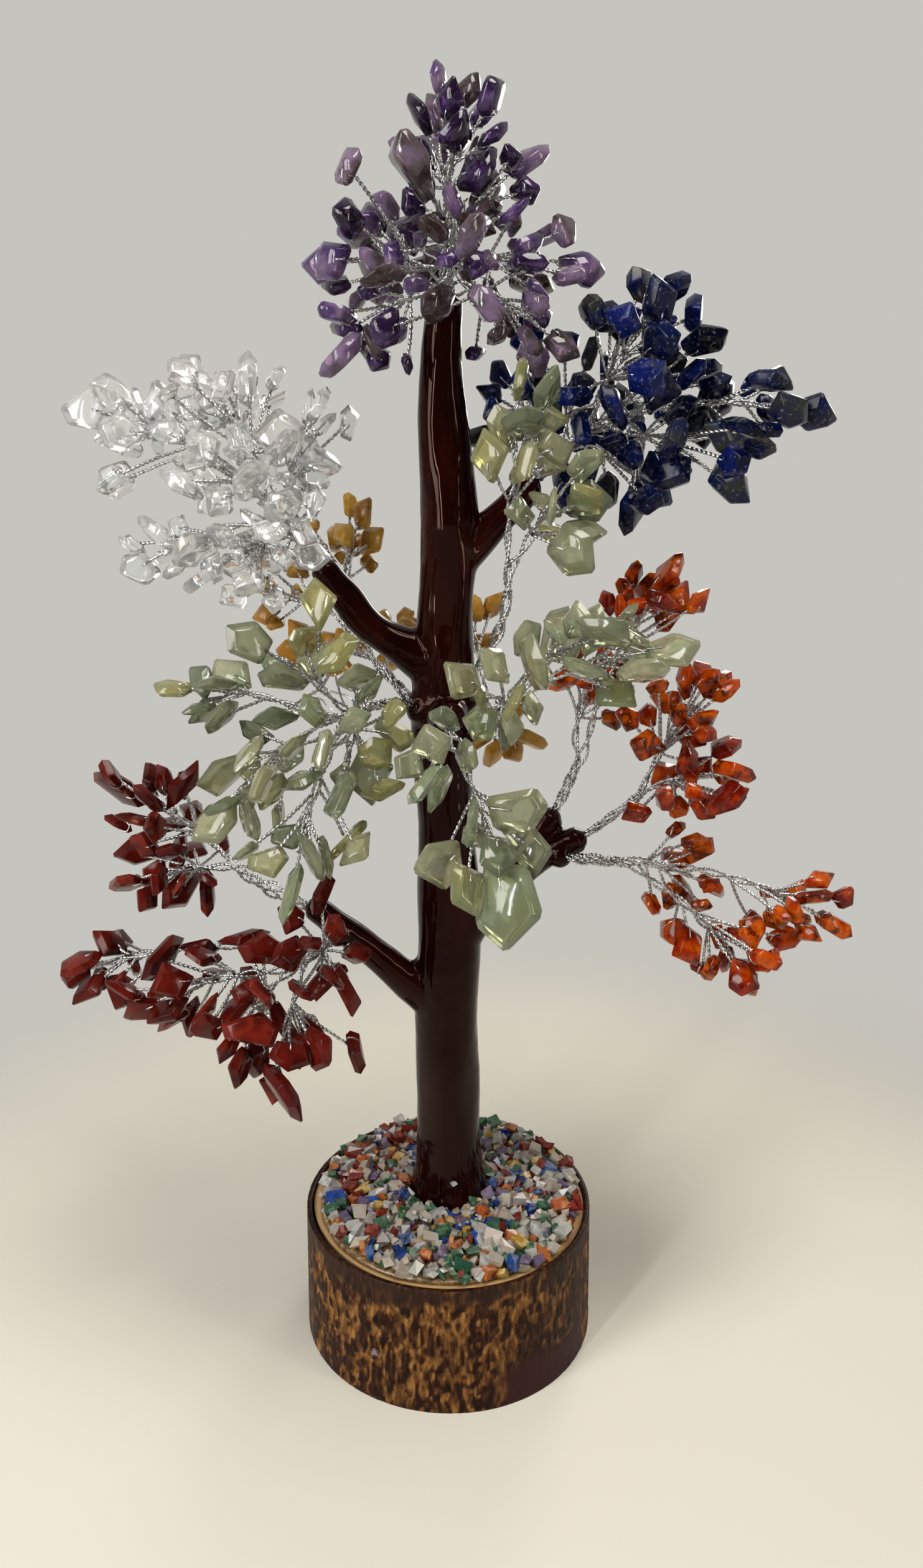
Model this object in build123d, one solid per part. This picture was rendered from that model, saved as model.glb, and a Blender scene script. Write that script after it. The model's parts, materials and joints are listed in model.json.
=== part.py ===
from build123d import *
import os
import numpy as np

# A gemstone tree: a lacquered putty trunk on a slice of log, with drilled stone chips
# on sprays of twisted wire. Millimetres, +Z up, origin at the middle of the underside,
# -Y towards the viewer. Heights of the tree are measured from the top of the log slice.

# Log slice
base_radius = 38.0          # outside of the bark at the rim
base_height = 35.0
bark_thickness = 1.5
bark_spread = 0.8           # how much wider the bark is at the floor
bark_lip = 0.7              # bark above the wood
bark_stand_off = 0.9        # widest crack between bark and wood
crack_angle = 215.0         # where the crack is, degrees from +X
outline_count = 28          # points round the log's outline
bark_gap = 0.2              # between bark and wood away from the crack
fit_gap = 0.10              # between pieces that are glued or seated

# Bed of glue and gravel
bed_thickness = 1.6
bed_margin = 1.2            # bare wood between bed and bark
gravel_rows = [15, 19, 23, 27, 30, 33]    # chips in each row, from the trunk outwards
gravel_fill = (0.78, 0.97)  # width of a chip against the room in its row
gravel_colours = ["clear", "green", "red", "orange", "yellow", "blue", "lilac"]

# Core and trunk
core_radius = 2.4
core_socket_depth = 22.0
core_below_top = 22.0       # end of the core below the trunk's top
core_clearance = 0.1
trunk_rings = [             # height, radius, shift to the right
    (0.0, 12.0, 0.6),
    (4.0, 10.4, 0.6),
    (12.0, 9.1, 0.4),
    (30.0, 8.1, 0.0),
    (60.0, 8.2, -0.6),
    (87.0, 7.8, 0.3),
    (117.0, 7.2, -0.8),
    (137.0, 7.4, -1.0),
    (151.0, 6.8, -0.6),
    (175.0, 6.5, 0.9),
    (191.0, 5.8, 0.1),
    (208.0, 5.2, -0.9),
    (220.0, 4.8, -0.6),
    (227.0, 3.9, 0.0),
]
stub_taper = [              # share of a stub's length, radius against its middle's, and its tip's
    (0.0, 1.75, 0.0),
    (0.22, 1.3, 0.0),
    (0.5, 1.0, 0.0),
    (0.8, 0.5, 0.5),
    (1.0, 0.0, 1.0),
]

# Branch stubs: root on the trunk, a point half way, tip, radius at the middle, at the tip
stub_paths = {
    "lower_left": ((-0.5, 0.0, 57.0), (-17.5, -2.5, 73.0), (-33.0, -6.0, 88.0), 4.0, 3.3),
    "lower_right": ((0.0, 0.0, 76.0), (12.5, 0.0, 91.0), (26.0, 2.0, 109.0), 4.2, 3.3),
    "fork": ((14.0, 0.0, 93.5), (23.0, -1.5, 99.5), (32.5, -2.5, 104.5), 3.6, 3.3),
    "left": ((-0.6, 0.0, 147.0), (-17.0, 0.0, 156.0), (-28.5, 0.0, 170.0), 4.0, 3.3),
    "right": ((0.5, 0.0, 170.0), (10.5, 1.5, 179.0), (19.5, 3.0, 188.5), 3.8, 3.3),
    "front": ((-0.5, 0.0, 133.0), (0.2, -6.0, 135.5), (1.0, -12.0, 137.0), 4.2, 3.5),
}

# Wire: one twisted pair to each chip, pairs twisted into sprigs, sprigs into a rope
rope_radius = 1.6
sprig_radius = 0.95
twig_radius = 0.45
knuckle_extra = 0.25        # knuckle at the rope's root and knot at its end
mouth_clearance = 0.3       # round the knuckle in its mouth
mouth_depth = 1.1           # knuckle's centre below the putty's surface
mouth_swing = 16.0          # half angle of the mouth's flare, degrees
mouth_length = 5.0
sprig_rise = 0.06           # how far a sprig arches, of its length
wire_gap = 0.10             # between wires that lie side by side
sprig_bare = 0.35           # share of a sprig that carries no twigs
twig_angle = 42.0           # between a twig and its sprig, degrees
sprig_samples = 41          # points along a sprig where twigs may leave it

# Chips
seat_depth = 1.6            # how far a wire reaches into its chip
seat_clearance = 0.07
chip_gap = 0.5              # least air between chips, and between chips and wires
chip_lean = 0.55            # how far chips turn off the line of their wire
chip_inset = 3.0            # middles of chips inside a lobe's outline
lobe_growth = 1.01          # a lobe widens by this at each try that finds no room
end_chip_shrink = 0.98      # and the chip on a sprig's end shrinks by this
stones = {                  # length, spread of lengths, width and thickness of that length
    "amethyst": (8.8, 0.28, 0.80, 0.44),
    "lapis": (9.6, 0.22, 0.82, 0.46),
    "quartz": (9.0, 0.26, 0.82, 0.45),
    "yellow": (8.0, 0.22, 0.80, 0.44),
    "green": (10.6, 0.24, 0.80, 0.37),
    "carnelian": (8.3, 0.24, 0.78, 0.44),
    "red": (9.5, 0.26, 0.78, 0.42),
}

# Sprays: stone, mouth, two more points of the rope, and lobes of chips. A mouth is the
# tip of a stub, the side of a stub (share of its length and direction), the side of the
# trunk (angle, height) or the trunk's top. A lobe is where along the rope its sprig
# leaves, its middle, half its width and height, and its chips.
sprays = {
    "amethyst_crown": ("amethyst", ("top",), ((0.4, 0.0, 233.0), (1.0, 0.5, 240.0)), [
        (1.00, (3, 0, 261), 12, 13, 16),
        (0.90, (-2, -5, 245), 9, 9, 6),
        (0.75, (11, 4, 250), 9, 9, 6),
        (0.45, (-19, 2, 235), 13, 12, 15),
        (0.30, (-16, -5, 221), 12, 9, 9),
        (0.55, (21, 2, 235), 13, 11, 15),
        (0.35, (19, -5, 222), 11, 9, 10),
        (0.80, (1, -14, 235), 10, 9, 8),
        (0.85, (0, 20, 241), 11, 10, 8),
    ]),
    "lapis": ("lapis", ("tip", "right"), ((27.0, 3.5, 196.5), (36.0, 3.0, 202.0)), [
        (0.30, (16, 11, 208), 10, 9, 9),
        (0.55, (30, 7, 211), 9, 10, 8),
        (0.80, (44, 0, 223), 13, 12, 18),
        (1.00, (73, 0, 205), 10, 9, 9),
        (0.90, (56, -6, 193), 14, 12, 18),
        (0.65, (52, 9, 211), 10, 8, 8),
        (0.60, (42, 2, 191), 9, 9, 7),
    ]),
    "quartz": ("quartz", ("tip", "left"), ((-33.5, -1.0, 177.5), (-40.0, -2.0, 185.0)), [
        (1.00, (-71, 0, 202), 10, 10, 12),
        (0.90, (-53, 6, 208), 13, 10, 15),
        (0.70, (-31, -4, 199), 10, 11, 11),
        (0.80, (-48, -16, 192), 12, 8, 10),
        (0.70, (-65, 2, 173), 10, 8, 9),
        (0.50, (-49, -8, 172), 11, 9, 13),
        (0.40, (-33, -15, 183), 8, 8, 6),
    ]),
    "yellow_left": ("yellow", ("trunk", 150.0, 136.0), ((-17.0, 11.0, 145.0), (-26.0, 19.0, 155.0)), [
        (0.95, (-25, 30, 177), 10, 10, 10),
        (1.00, (-47, 26, 161), 9, 10, 10),
        (0.55, (-31, 14, 148), 11, 7, 9),
        (0.45, (-11, 25, 150), 8, 7, 7),
    ]),
    "yellow_right": ("yellow", ("trunk", 60.0, 130.0), ((7.0, 13.0, 133.0), (10.0, 21.0, 135.0)), [
        (0.80, (15, 27, 124), 10, 11, 8),
        (1.00, (6, 36, 151), 8, 9, 7),
    ]),
    "green_left": ("green", ("trunk", 205.0, 138.0), ((-16.0, -12.0, 140.0), (-26.0, -20.0, 138.0)), [
        (1.00, (-53, -18, 145), 10, 7, 7),
        (0.85, (-35, -22, 152), 9, 10, 8),
        (0.95, (-45, -28, 124), 10, 10, 12),
        (0.65, (-21, -33, 132), 10, 11, 14),
        (0.80, (-31, -37, 114), 11, 7, 8),
    ]),
    "green_right": ("green", ("trunk", 330.0, 131.0), ((11.0, -14.0, 138.0), (17.0, -23.0, 145.0)), [
        (0.55, (13, -38, 147), 9, 9, 9),
        (0.75, (26, -34, 157), 10, 8, 8),
        (1.00, (39, -27, 154), 9, 10, 8),
    ]),
    "green_upper": ("green", ("trunk", 312.0, 144.0), ((11.0, -14.0, 155.0), (13.5, -18.0, 173.0)), [
        (1.00, (18, -22, 200), 9, 9, 9),
        (0.80, (24, -22, 187), 9, 9, 9),
    ]),
    "green_lower": ("green", ("tip", "front"), ((1.5, -21.0, 137.0), (3.0, -29.0, 132.0)), [
        (0.75, (-2, -43, 135), 7, 11, 6),
        (1.00, (10, -42, 116), 10, 12, 9),
    ]),
    "carnelian_inner": ("carnelian", ("tip", "lower_right"), ((30.5, 2.5, 118.0), (34.5, 2.5, 128.0)), [
        (1.00, (47, 0, 162), 11, 8, 12),
        (0.55, (36, 5, 146), 9, 14, 11),
    ]),
    "carnelian_outer": ("carnelian", ("tip", "fork"), ((40.5, -3.0, 110.5), (48.0, -3.0, 117.0)), [
        (0.90, (60, 0, 137), 14, 11, 17),
        (1.00, (63, -4, 121), 13, 9, 14),
    ]),
    "carnelian_lower": ("carnelian", ("side", "fork", 0.72, (0.35, -0.75, -0.55)),
                        ((37.0, -8.5, 101.0), (46.0, -8.0, 100.0)), [
        (0.45, (60, 0, 94), 9, 12, 10),
        (0.75, (71, -8, 75), 12, 12, 13),
        (1.00, (91, -2, 85), 13, 10, 12),
    ]),
    "red_upper": ("red", ("tip", "lower_left"), ((-43.0, -6.5, 92.5), (-53.0, -4.0, 99.0)), [
        (1.00, (-74, 4, 112), 14, 11, 15),
        (0.85, (-72, -2, 95), 13, 9, 13),
    ]),
    "red_lower": ("red", ("side", "lower_left", 0.80, (-0.35, -0.85, -0.40)),
                  ((-32.0, -15.0, 79.5), (-38.0, -20.0, 77.0)), [
        (0.50, (-87, -6, 72), 10, 10, 9),
        (1.00, (-66, -20, 71), 11, 12, 13),
        (0.80, (-47, -27, 68), 10, 12, 13),
        (0.40, (-27, -27, 83), 11, 12, 12),
        (0.60, (-39, -29, 60), 13, 7, 7),
    ]),
}
big_shards = {              # spray and lobe whose end chip is longer, and how many times
    ("amethyst_crown", 1): 2.1,
    ("green_right", 1): 1.6,
    ("green_lower", 1): 1.5,
}

rim = base_height
bed_top = rim + fit_gap + bed_thickness
rng = np.random.default_rng(11)


def unit(v):
    v = np.asarray(v, float)
    return v / np.linalg.norm(v)


def across(v):
    """Two directions square to v and to each other."""
    side = unit(np.cross(v, (0, 0, 1) if abs(v[2]) < 0.9 else (1, 0, 0)))
    return side, np.cross(v, side)


def vector(v):
    return np.array((v.X, v.Y, v.Z))


def from_rim(point):
    return np.array(point, float) + (0, 0, rim)


def log_face(radius, height, dent=0.0):
    """The log's slightly uneven outline, drawn in by dent at the crack."""
    angles = np.linspace(0, 2 * np.pi, outline_count, endpoint=False)
    waves = 0.30 * np.cos(2 * angles + 0.6) + 0.22 * np.cos(3 * angles + 2.1)
    hollow = dent * np.clip(np.cos(angles - np.radians(crack_angle)), 0, 1) ** 10
    reach = radius + waves - hollow
    points = [(r * np.cos(a), r * np.sin(a)) for r, a in zip(reach, angles)]
    return Plane.XY.offset(height) * make_face(Spline(*points, periodic=True))


def make_base():
    inner = base_radius - bark_thickness
    wood = extrude(log_face(inner - bark_gap, 0, bark_stand_off), rim)
    socket = Pos(0, 0, rim - core_socket_depth) * Cylinder(
        core_radius + core_clearance, core_socket_depth + 1, align=(Align.CENTER, Align.CENTER, Align.MIN))
    top = rim + bark_lip
    bark = loft([log_face(base_radius + bark_spread, 0), log_face(base_radius, top)], ruled=True)
    bark -= extrude(log_face(inner, 0), top + 1)
    return wood - socket, bark


def ring_radius(height):
    rings = np.array(trunk_rings)
    return np.interp(height, rings[:, 0], rings[:, 1])


def trunk_middle(height):
    rings = np.array(trunk_rings)
    return np.array((np.interp(height, rings[:, 0], rings[:, 2]), 0, rim + fit_gap + height))


def make_bed():
    bed_radius = base_radius - bark_thickness - bark_stand_off - bed_margin
    hole = trunk_rings[0][1] + abs(trunk_rings[0][2]) + fit_gap
    disc = Cylinder(bed_radius, bed_thickness) - Cylinder(hole, bed_thickness)
    return Pos(0, 0, rim + fit_gap + bed_thickness / 2) * disc, bed_radius, hole


def stub_arc(name):
    root, half, tip = (tuple(from_rim(p)) for p in stub_paths[name][:3])
    return ThreePointArc(root, half, tip)


def make_stub(name):
    """A tapering stub whose root is flared into the trunk."""
    middle, end = stub_paths[name][3:]
    arc = stub_arc(name)
    faces = []
    for share, of_middle, of_end in stub_taper:
        place = Plane(origin=arc @ share, z_dir=arc % share)
        faces.append(place * Circle(middle * of_middle + end * of_end))
    return loft(faces)


def mouth_place(mouth):
    """Middle of a rope's knuckle, just under the putty's surface."""
    if mouth[0] == "top":
        return trunk_middle(trunk_rings[-1][0] - mouth_depth)
    if mouth[0] == "tip":
        arc = stub_arc(mouth[1])
        return vector(arc @ 1) - vector(arc % 1) * mouth_depth
    if mouth[0] == "side":
        arc = stub_arc(mouth[1])
        middle, end = stub_paths[mouth[1]][3:]
        along = vector(arc % mouth[2])
        out = np.array(mouth[3])
        out = unit(out - along * (out @ along))
        return vector(arc @ mouth[2]) + out * ((middle + end) / 2 - mouth_depth)
    angle = np.radians(mouth[1])
    reach = ring_radius(mouth[2]) - mouth_depth
    return trunk_middle(mouth[2]) + reach * np.array((np.cos(angle), np.sin(angle), 0))


def rope_arc(name):
    stone, mouth, bends, lobes = sprays[name]
    return ThreePointArc(tuple(mouth_place(mouth)), *(tuple(from_rim(p)) for p in bends))


def make_mouth(name):
    """The hollow that a rope's knuckle sits in, flared so that the rope can bend."""
    arc = rope_arc(name)
    narrow = rope_radius + mouth_clearance
    wide = narrow + mouth_length * np.tan(np.radians(mouth_swing))
    flare = Solid.make_cone(narrow, wide, mouth_length, Plane(origin=arc @ 0, z_dir=arc % 0))
    ball = Pos(arc @ 0) * Sphere(rope_radius + knuckle_extra + mouth_clearance)
    return ball + flare


def make_trunk():
    rings = [Plane(origin=tuple(trunk_middle(h))) * Circle(r) for h, r, shift in trunk_rings]
    trunk = loft(rings)
    for name in stub_paths:
        trunk += make_stub(name)
    for name in sprays:
        trunk -= make_mouth(name)
    bore_height = trunk_rings[-1][0] - core_below_top + core_clearance
    bore = Cylinder(core_radius + core_clearance, bore_height, align=(Align.CENTER, Align.CENTER, Align.MIN))
    return trunk - Pos(0, 0, rim) * bore


def make_core():
    height = core_socket_depth - fit_gap + trunk_rings[-1][0] - core_below_top
    core = Cylinder(core_radius, height, align=(Align.CENTER, Align.CENTER, Align.MIN))
    return Pos(0, 0, rim - core_socket_depth + fit_gap) * core


class Chip:
    """A tumbled chip: an uneven polygon, thick in the middle and drawn in above and below."""

    def __init__(self, middle, along, length, width, thickness):
        corners = rng.choice((4, 5, 6), p=(0.5, 0.4, 0.1))
        turn = np.linspace(0, 2 * np.pi, corners, endpoint=False) + rng.uniform(-0.34, 0.34, corners)
        outline = np.stack([np.cos(turn) * length / 2, np.sin(turn) * width / 2], 1)
        side, up = across(along)
        roll = rng.uniform(0, 2 * np.pi)
        side, up = side * np.cos(roll) + up * np.sin(roll), up * np.cos(roll) - side * np.sin(roll)
        frame = np.array((along, side, up))
        rings = []
        for level in (-0.5, rng.uniform(-0.12, 0.12), 0.5):
            draw = 1.0 if abs(level) < 0.2 else rng.uniform(0.62, 0.86)
            shift = (1 - draw) * rng.uniform(-0.3, 0.3, 2) * (length / 2, width / 2)
            flat = outline * draw + shift
            rings.append(np.column_stack([flat, np.full(corners, level * thickness)]))
        self.points = np.concatenate(rings) @ frame + middle
        ring = np.arange(corners)
        ahead = np.roll(ring, -1)
        self.faces = [ring[::-1], ring + 2 * corners]
        for low in (0, corners):
            self.faces += [np.array((a, b, b + corners, a + corners)) + low for a, b in zip(ring, ahead)]
        self.middle = self.points.mean(0)
        self.reach = np.linalg.norm(self.points - self.middle, axis=1).max()
        a, b, c = (self.points[[f[i] for f in self.faces]] for i in range(3))
        normals = np.cross(b - a, c - a)
        self.normals = normals / np.linalg.norm(normals, axis=1, keepdims=True)
        self.offsets = (self.normals * a).sum(1)

    def clear_of_chip(self, other):
        away = (other.points @ self.normals.T).min(0) - self.offsets
        back = (self.points @ other.normals.T).min(0) - other.offsets
        return max(away.max(), back.max()) >= chip_gap

    def clear_of_wire(self, start, end, radius):
        ends = np.array((start, end)) @ self.normals.T
        return (ends.min(0) - self.offsets).max() >= radius + chip_gap

    def surface_towards(self, direction):
        """Where a line from the chip's middle leaves the chip."""
        slope = self.normals @ direction
        room = self.offsets - self.normals @ self.middle
        facing = slope > 1e-6
        return self.middle + direction * (room[facing] / slope[facing]).min()

    def solid(self):
        sides = [Face(Wire.make_polygon([tuple(p) for p in self.points[f]])) for f in self.faces]
        return Solid(Shell(sides))


def point_distance(points, starts, ends):
    """Distance from points to straight lengths, either of them one or many."""
    run = ends - starts
    t = np.clip(((points - starts) * run).sum(-1) / np.maximum((run * run).sum(-1), 1e-9), 0, 1)
    return np.linalg.norm(points - starts - t[..., None] * run, axis=-1)


def segment_distance(start, end, starts, ends):
    """Least distance from one straight length to each of many."""
    shares = np.linspace(0, 1, 9)[:, None, None]
    return point_distance(start + shares * (end - start), starts, ends).min(0)


class Space:
    """Everything placed so far: chips, and wires as straight lengths with a radius."""

    def __init__(self):
        self.chips = []
        self.middles = np.empty((0, 3))
        self.reaches = np.empty(0)
        self.starts = np.empty((0, 3))
        self.ends = np.empty((0, 3))
        self.radii = np.empty(0)

    def add_wire(self, points, radius):
        points = np.asarray(points)
        self.starts = np.concatenate([self.starts, points[:-1]])
        self.ends = np.concatenate([self.ends, points[1:]])
        self.radii = np.concatenate([self.radii, np.full(len(points) - 1, radius)])

    def add_chip(self, chip):
        self.chips.append(chip)
        self.middles = np.concatenate([self.middles, chip.middle[None]])
        self.reaches = np.append(self.reaches, chip.reach)

    def takes_chip(self, chip):
        gaps = np.linalg.norm(self.middles - chip.middle, axis=1) - self.reaches
        near = np.flatnonzero(gaps < chip.reach + chip_gap)
        if not all(chip.clear_of_chip(self.chips[i]) for i in near):
            return False
        gaps = point_distance(chip.middle, self.starts, self.ends) - self.radii
        near = np.flatnonzero(gaps < chip.reach + chip_gap)
        return all(chip.clear_of_wire(self.starts[i], self.ends[i], self.radii[i]) for i in near)

    def takes_wire(self, start, end, radius):
        gaps = segment_distance(start, end, self.starts, self.ends) - self.radii
        if (gaps < radius + wire_gap).any():
            return False
        gaps = point_distance(self.middles, start, end) - self.reaches
        near = np.flatnonzero(gaps < radius + chip_gap)
        return all(self.chips[i].clear_of_wire(start, end, radius) for i in near)


def arc_points(arc, shares):
    return np.array([vector(arc @ float(s)) for s in shares])


def wire_tube(arc, radius):
    return sweep(Plane(origin=arc @ 0, z_dir=arc % 0) * Circle(radius), path=arc)


def make_rope(name):
    """Rope from its mouth to where it splits, with a knuckle and a knot."""
    arc = rope_arc(name)
    ball = Sphere(rope_radius + knuckle_extra)
    return wire_tube(arc, rope_radius) + Pos(arc @ 0) * ball + Pos(arc @ 1) * ball


def sprig_arc(rope, leaves, lobe_middle):
    """Arched path of a sprig, starting at the rope's surface."""
    root = vector(rope @ leaves)
    chord = lobe_middle - root
    side, up = across(unit(chord))
    rise = up if up[2] > 0 else -up
    half = root + chord / 2 + rise * sprig_rise * np.linalg.norm(chord)
    whole = ThreePointArc(tuple(root), tuple(half), tuple(lobe_middle))
    line = arc_points(rope, np.linspace(0, 1, 101))
    for share in np.linspace(0, 0.6, 241):
        point = vector(whole @ float(share))
        gaps = np.linalg.norm(line - point, axis=1)
        facing = (point - line[gaps.argmin()]) @ vector(whole % float(share)) / max(gaps.min(), wire_gap)
        end_reach = sprig_radius * np.sqrt(max(1 - facing * facing, 0))
        if gaps.min() > rope_radius + knuckle_extra + end_reach + wire_gap:
            break
    return ThreePointArc(whole @ float(share), whole @ float((share + 1) / 2), whole @ 1)


class Sprig:
    """A sprig's path, sampled, with the lobe of chips that it carries."""

    def __init__(self, rope, lobe):
        leaves, middle, wide, high, self.count = lobe
        self.lobe_middle = from_rim(middle)
        self.room = np.array((wide, wide, high)) - chip_inset
        self.arc = sprig_arc(rope, leaves, self.lobe_middle)
        shares = np.linspace(0, 1, sprig_samples)
        self.points = arc_points(self.arc, shares)
        self.headings = np.array([vector(self.arc % float(s)) for s in shares])
        self.step = self.arc.length / (sprig_samples - 1)

    def end_chip(self, stone, times_longer, tries):
        """A chip straight ahead of the sprig's end, smaller where there is little room."""
        length, spread, width, thickness = stones[stone]
        size = length * times_longer * (1 + spread * rng.uniform(-1, 1)) * end_chip_shrink ** tries
        heading = self.headings[-1]
        start = self.points[-1] + heading * wire_gap
        free = start + heading * (sprig_radius + twig_radius + wire_gap)
        middle = free + heading * (size / 2 + chip_gap + 2 * twig_radius)
        return Chip(middle, heading, size, size * width, size * thickness), start, free, heading

    def side_chip(self, stone, tries):
        """A chip somewhere in the lobe, on a twig that leaves the sprig at about twig_angle."""
        length, spread, width, thickness = stones[stone]
        size = length * (1 + spread * rng.uniform(-1, 1))
        way = unit(rng.normal(size=3)) * rng.uniform(0.3, 1) ** 0.4
        middle = self.lobe_middle + self.room * way * lobe_growth ** tries
        away = np.linalg.norm(self.points - middle, axis=1)
        back = away.min() / np.tan(np.radians(twig_angle)) / self.step
        first = int(sprig_bare * sprig_samples)
        at = int(np.clip(away.argmin() - back, first, sprig_samples - 2))
        heading = unit(middle - self.points[at])
        slant = max(np.linalg.norm(np.cross(heading, self.headings[at])), 0.2)
        start = self.points[at] + heading * (sprig_radius + twig_radius + 2 * wire_gap) / slant
        along = unit(heading + chip_lean * rng.normal(size=3))
        return Chip(middle, along, size, size * width, size * thickness), start, start, heading


def place_chip(space, propose):
    """Place the first proposed chip that is clear of the rest, as is its twig's free length."""
    tries = 0
    while True:
        chip, start, free, heading = propose(tries)
        tries += 1
        entry = chip.surface_towards(-heading)
        long_enough = (entry - free) @ heading > twig_radius
        if long_enough and space.takes_chip(chip) and space.takes_wire(free, entry, twig_radius):
            break
    space.add_chip(chip)
    space.add_wire((start, entry), twig_radius)
    reach = np.linalg.norm(entry - start) + seat_depth
    line = Plane(origin=tuple(start), z_dir=tuple(entry - start))
    twig = Solid.make_cylinder(twig_radius, reach, line)
    seat = Solid.make_cylinder(twig_radius + seat_clearance, reach + seat_clearance, line)
    return twig, chip.solid() - seat


def make_sprays():
    """Wires and chips of every spray: ropes and sprigs first, then chips on the sprigs' ends,
    then the chips round them."""
    space = Space()
    heights = [ring[0] for ring in trunk_rings]
    for low, high in zip(heights[:-1], heights[1:]):
        space.add_wire((trunk_middle(low), trunk_middle(high)), max(ring_radius(low), ring_radius(high)))
    for name, (root, half, tip, middle, end) in stub_paths.items():
        space.add_wire(arc_points(stub_arc(name), np.linspace(0, 1, 9)), middle)
    sprigs = {}
    wires = {}
    chips = {}
    for name, (stone, mouth, bends, lobes) in sprays.items():
        rope = rope_arc(name)
        sprigs[name] = [Sprig(rope, lobe) for lobe in lobes]
        space.add_wire(arc_points(rope, np.linspace(0, 1, 9)), rope_radius + knuckle_extra)
        for sprig in sprigs[name]:
            space.add_wire(sprig.points[::5], sprig_radius)
        wires[name] = [make_rope(name)] + [wire_tube(sprig.arc, sprig_radius) for sprig in sprigs[name]]
    for name, (stone, mouth, bends, lobes) in sprays.items():
        longer = [big_shards.get((name, lobe), 1.0) for lobe in range(len(lobes))]
        ends = [place_chip(space, lambda tries: sprig.end_chip(stone, times, tries))
                for sprig, times in zip(sprigs[name], longer)]
        wires[name] += [twig for twig, chip in ends]
        chips[name] = [chip for twig, chip in ends]
    for name, (stone, mouth, bends, lobes) in sprays.items():
        for sprig in sprigs[name]:
            for k in range(1, sprig.count):
                twig, chip = place_chip(space, lambda tries: sprig.side_chip(stone, tries))
                wires[name].append(twig)
                chips[name].append(chip)
    return wires, chips


def make_gravel(bed_radius, hole):
    """Flat-bottomed chips in rows round the trunk, each a little out of line, dealt out to the colours."""
    heaps = {colour: [] for colour in gravel_colours}
    row_room = (bed_radius - hole) / len(gravel_rows)
    deal = rng.permutation(sum(gravel_rows))
    for row, count in enumerate(gravel_rows):
        reach = hole + row_room * (row + 0.5)
        room = min(row_room, 2 * np.pi * reach / count)
        for place in range(count):
            size = room * rng.uniform(*gravel_fill) - fit_gap
            slack = (room - size - fit_gap) / 2 * rng.uniform(-1, 1, 2)
            angle = 2 * np.pi * (place + row / len(gravel_rows)) / count + slack[0] / reach
            far = reach + slack[1]
            dealt = deal[sum(gravel_rows[:row]) + place]
            colour = gravel_colours[dealt % len(gravel_colours)]
            heaps[colour].append(gravel_chip(far * np.cos(angle), far * np.sin(angle), size))
    return heaps


def gravel_chip(x, y, size):
    turn = np.arange(4) * np.pi / 2 + rng.uniform(0.2, 0.7, 4) + rng.uniform(0, 6)
    corners = [(size / 2 * np.cos(a), size / 2 * np.sin(a)) for a in turn]
    foot = make_face(Polyline(*corners, close=True))
    height = size * rng.uniform(0.5, 0.75)
    top = Pos(0, 0, height) * scale(foot, by=rng.uniform(0.45, 0.7))
    return Pos(x, y, bed_top + fit_gap) * loft([foot, top], ruled=True)


def save(name, *solids):
    whole = solids[0] if len(solids) == 1 else Compound(children=list(solids))
    export_step(whole, os.path.join("parts", name + ".step"))


def main():
    os.makedirs("parts", exist_ok=True)
    wood, bark = make_base()
    bed, bed_radius, hole = make_bed()
    save("base_wood", wood)
    save("bark_ring", bark)
    save("glue_bed", bed)
    for colour, heap in make_gravel(bed_radius, hole).items():
        save("gravel_" + colour, *heap)
    save("trunk_core", make_core())
    save("trunk", make_trunk())
    wires, chips = make_sprays()
    for name in sprays:
        save(name + "_wires", *wires[name])
        save(name + "_chips", *chips[name])
        print(name, len(chips[name]), "chips")


if __name__ == "__main__":
    main()
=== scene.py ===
import itertools
import json
import bmesh
import bpy
import numpy as np
from mathutils import Matrix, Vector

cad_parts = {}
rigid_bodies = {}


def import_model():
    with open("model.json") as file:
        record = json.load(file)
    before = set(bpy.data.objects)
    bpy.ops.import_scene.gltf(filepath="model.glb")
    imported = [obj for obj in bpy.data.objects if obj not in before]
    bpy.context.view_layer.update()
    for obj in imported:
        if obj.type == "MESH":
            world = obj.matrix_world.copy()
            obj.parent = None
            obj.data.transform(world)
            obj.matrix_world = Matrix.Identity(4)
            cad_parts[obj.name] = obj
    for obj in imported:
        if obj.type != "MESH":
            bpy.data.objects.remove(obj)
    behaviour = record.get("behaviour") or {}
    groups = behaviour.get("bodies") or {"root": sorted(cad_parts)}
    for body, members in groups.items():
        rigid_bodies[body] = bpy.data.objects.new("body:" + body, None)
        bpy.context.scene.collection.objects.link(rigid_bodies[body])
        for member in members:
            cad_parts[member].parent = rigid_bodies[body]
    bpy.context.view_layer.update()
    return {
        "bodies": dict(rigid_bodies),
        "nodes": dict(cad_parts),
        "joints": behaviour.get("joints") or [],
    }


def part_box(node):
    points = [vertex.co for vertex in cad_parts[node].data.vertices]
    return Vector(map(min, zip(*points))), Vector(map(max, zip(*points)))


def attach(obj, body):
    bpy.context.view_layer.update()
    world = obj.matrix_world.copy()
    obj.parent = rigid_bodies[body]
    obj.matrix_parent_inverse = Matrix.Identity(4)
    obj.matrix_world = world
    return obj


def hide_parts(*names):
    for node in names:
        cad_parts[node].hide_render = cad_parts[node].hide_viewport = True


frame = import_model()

mm = 0.001
grain = 0.001 * mm  # points that agree to this are one
rng = np.random.default_rng(24)
scene = bpy.context.scene
print("frame:", len(frame["nodes"]), "nodes")


def unit(v):
    return v / np.maximum(np.linalg.norm(v, axis=-1, keepdims=True), 1e-12)


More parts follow.
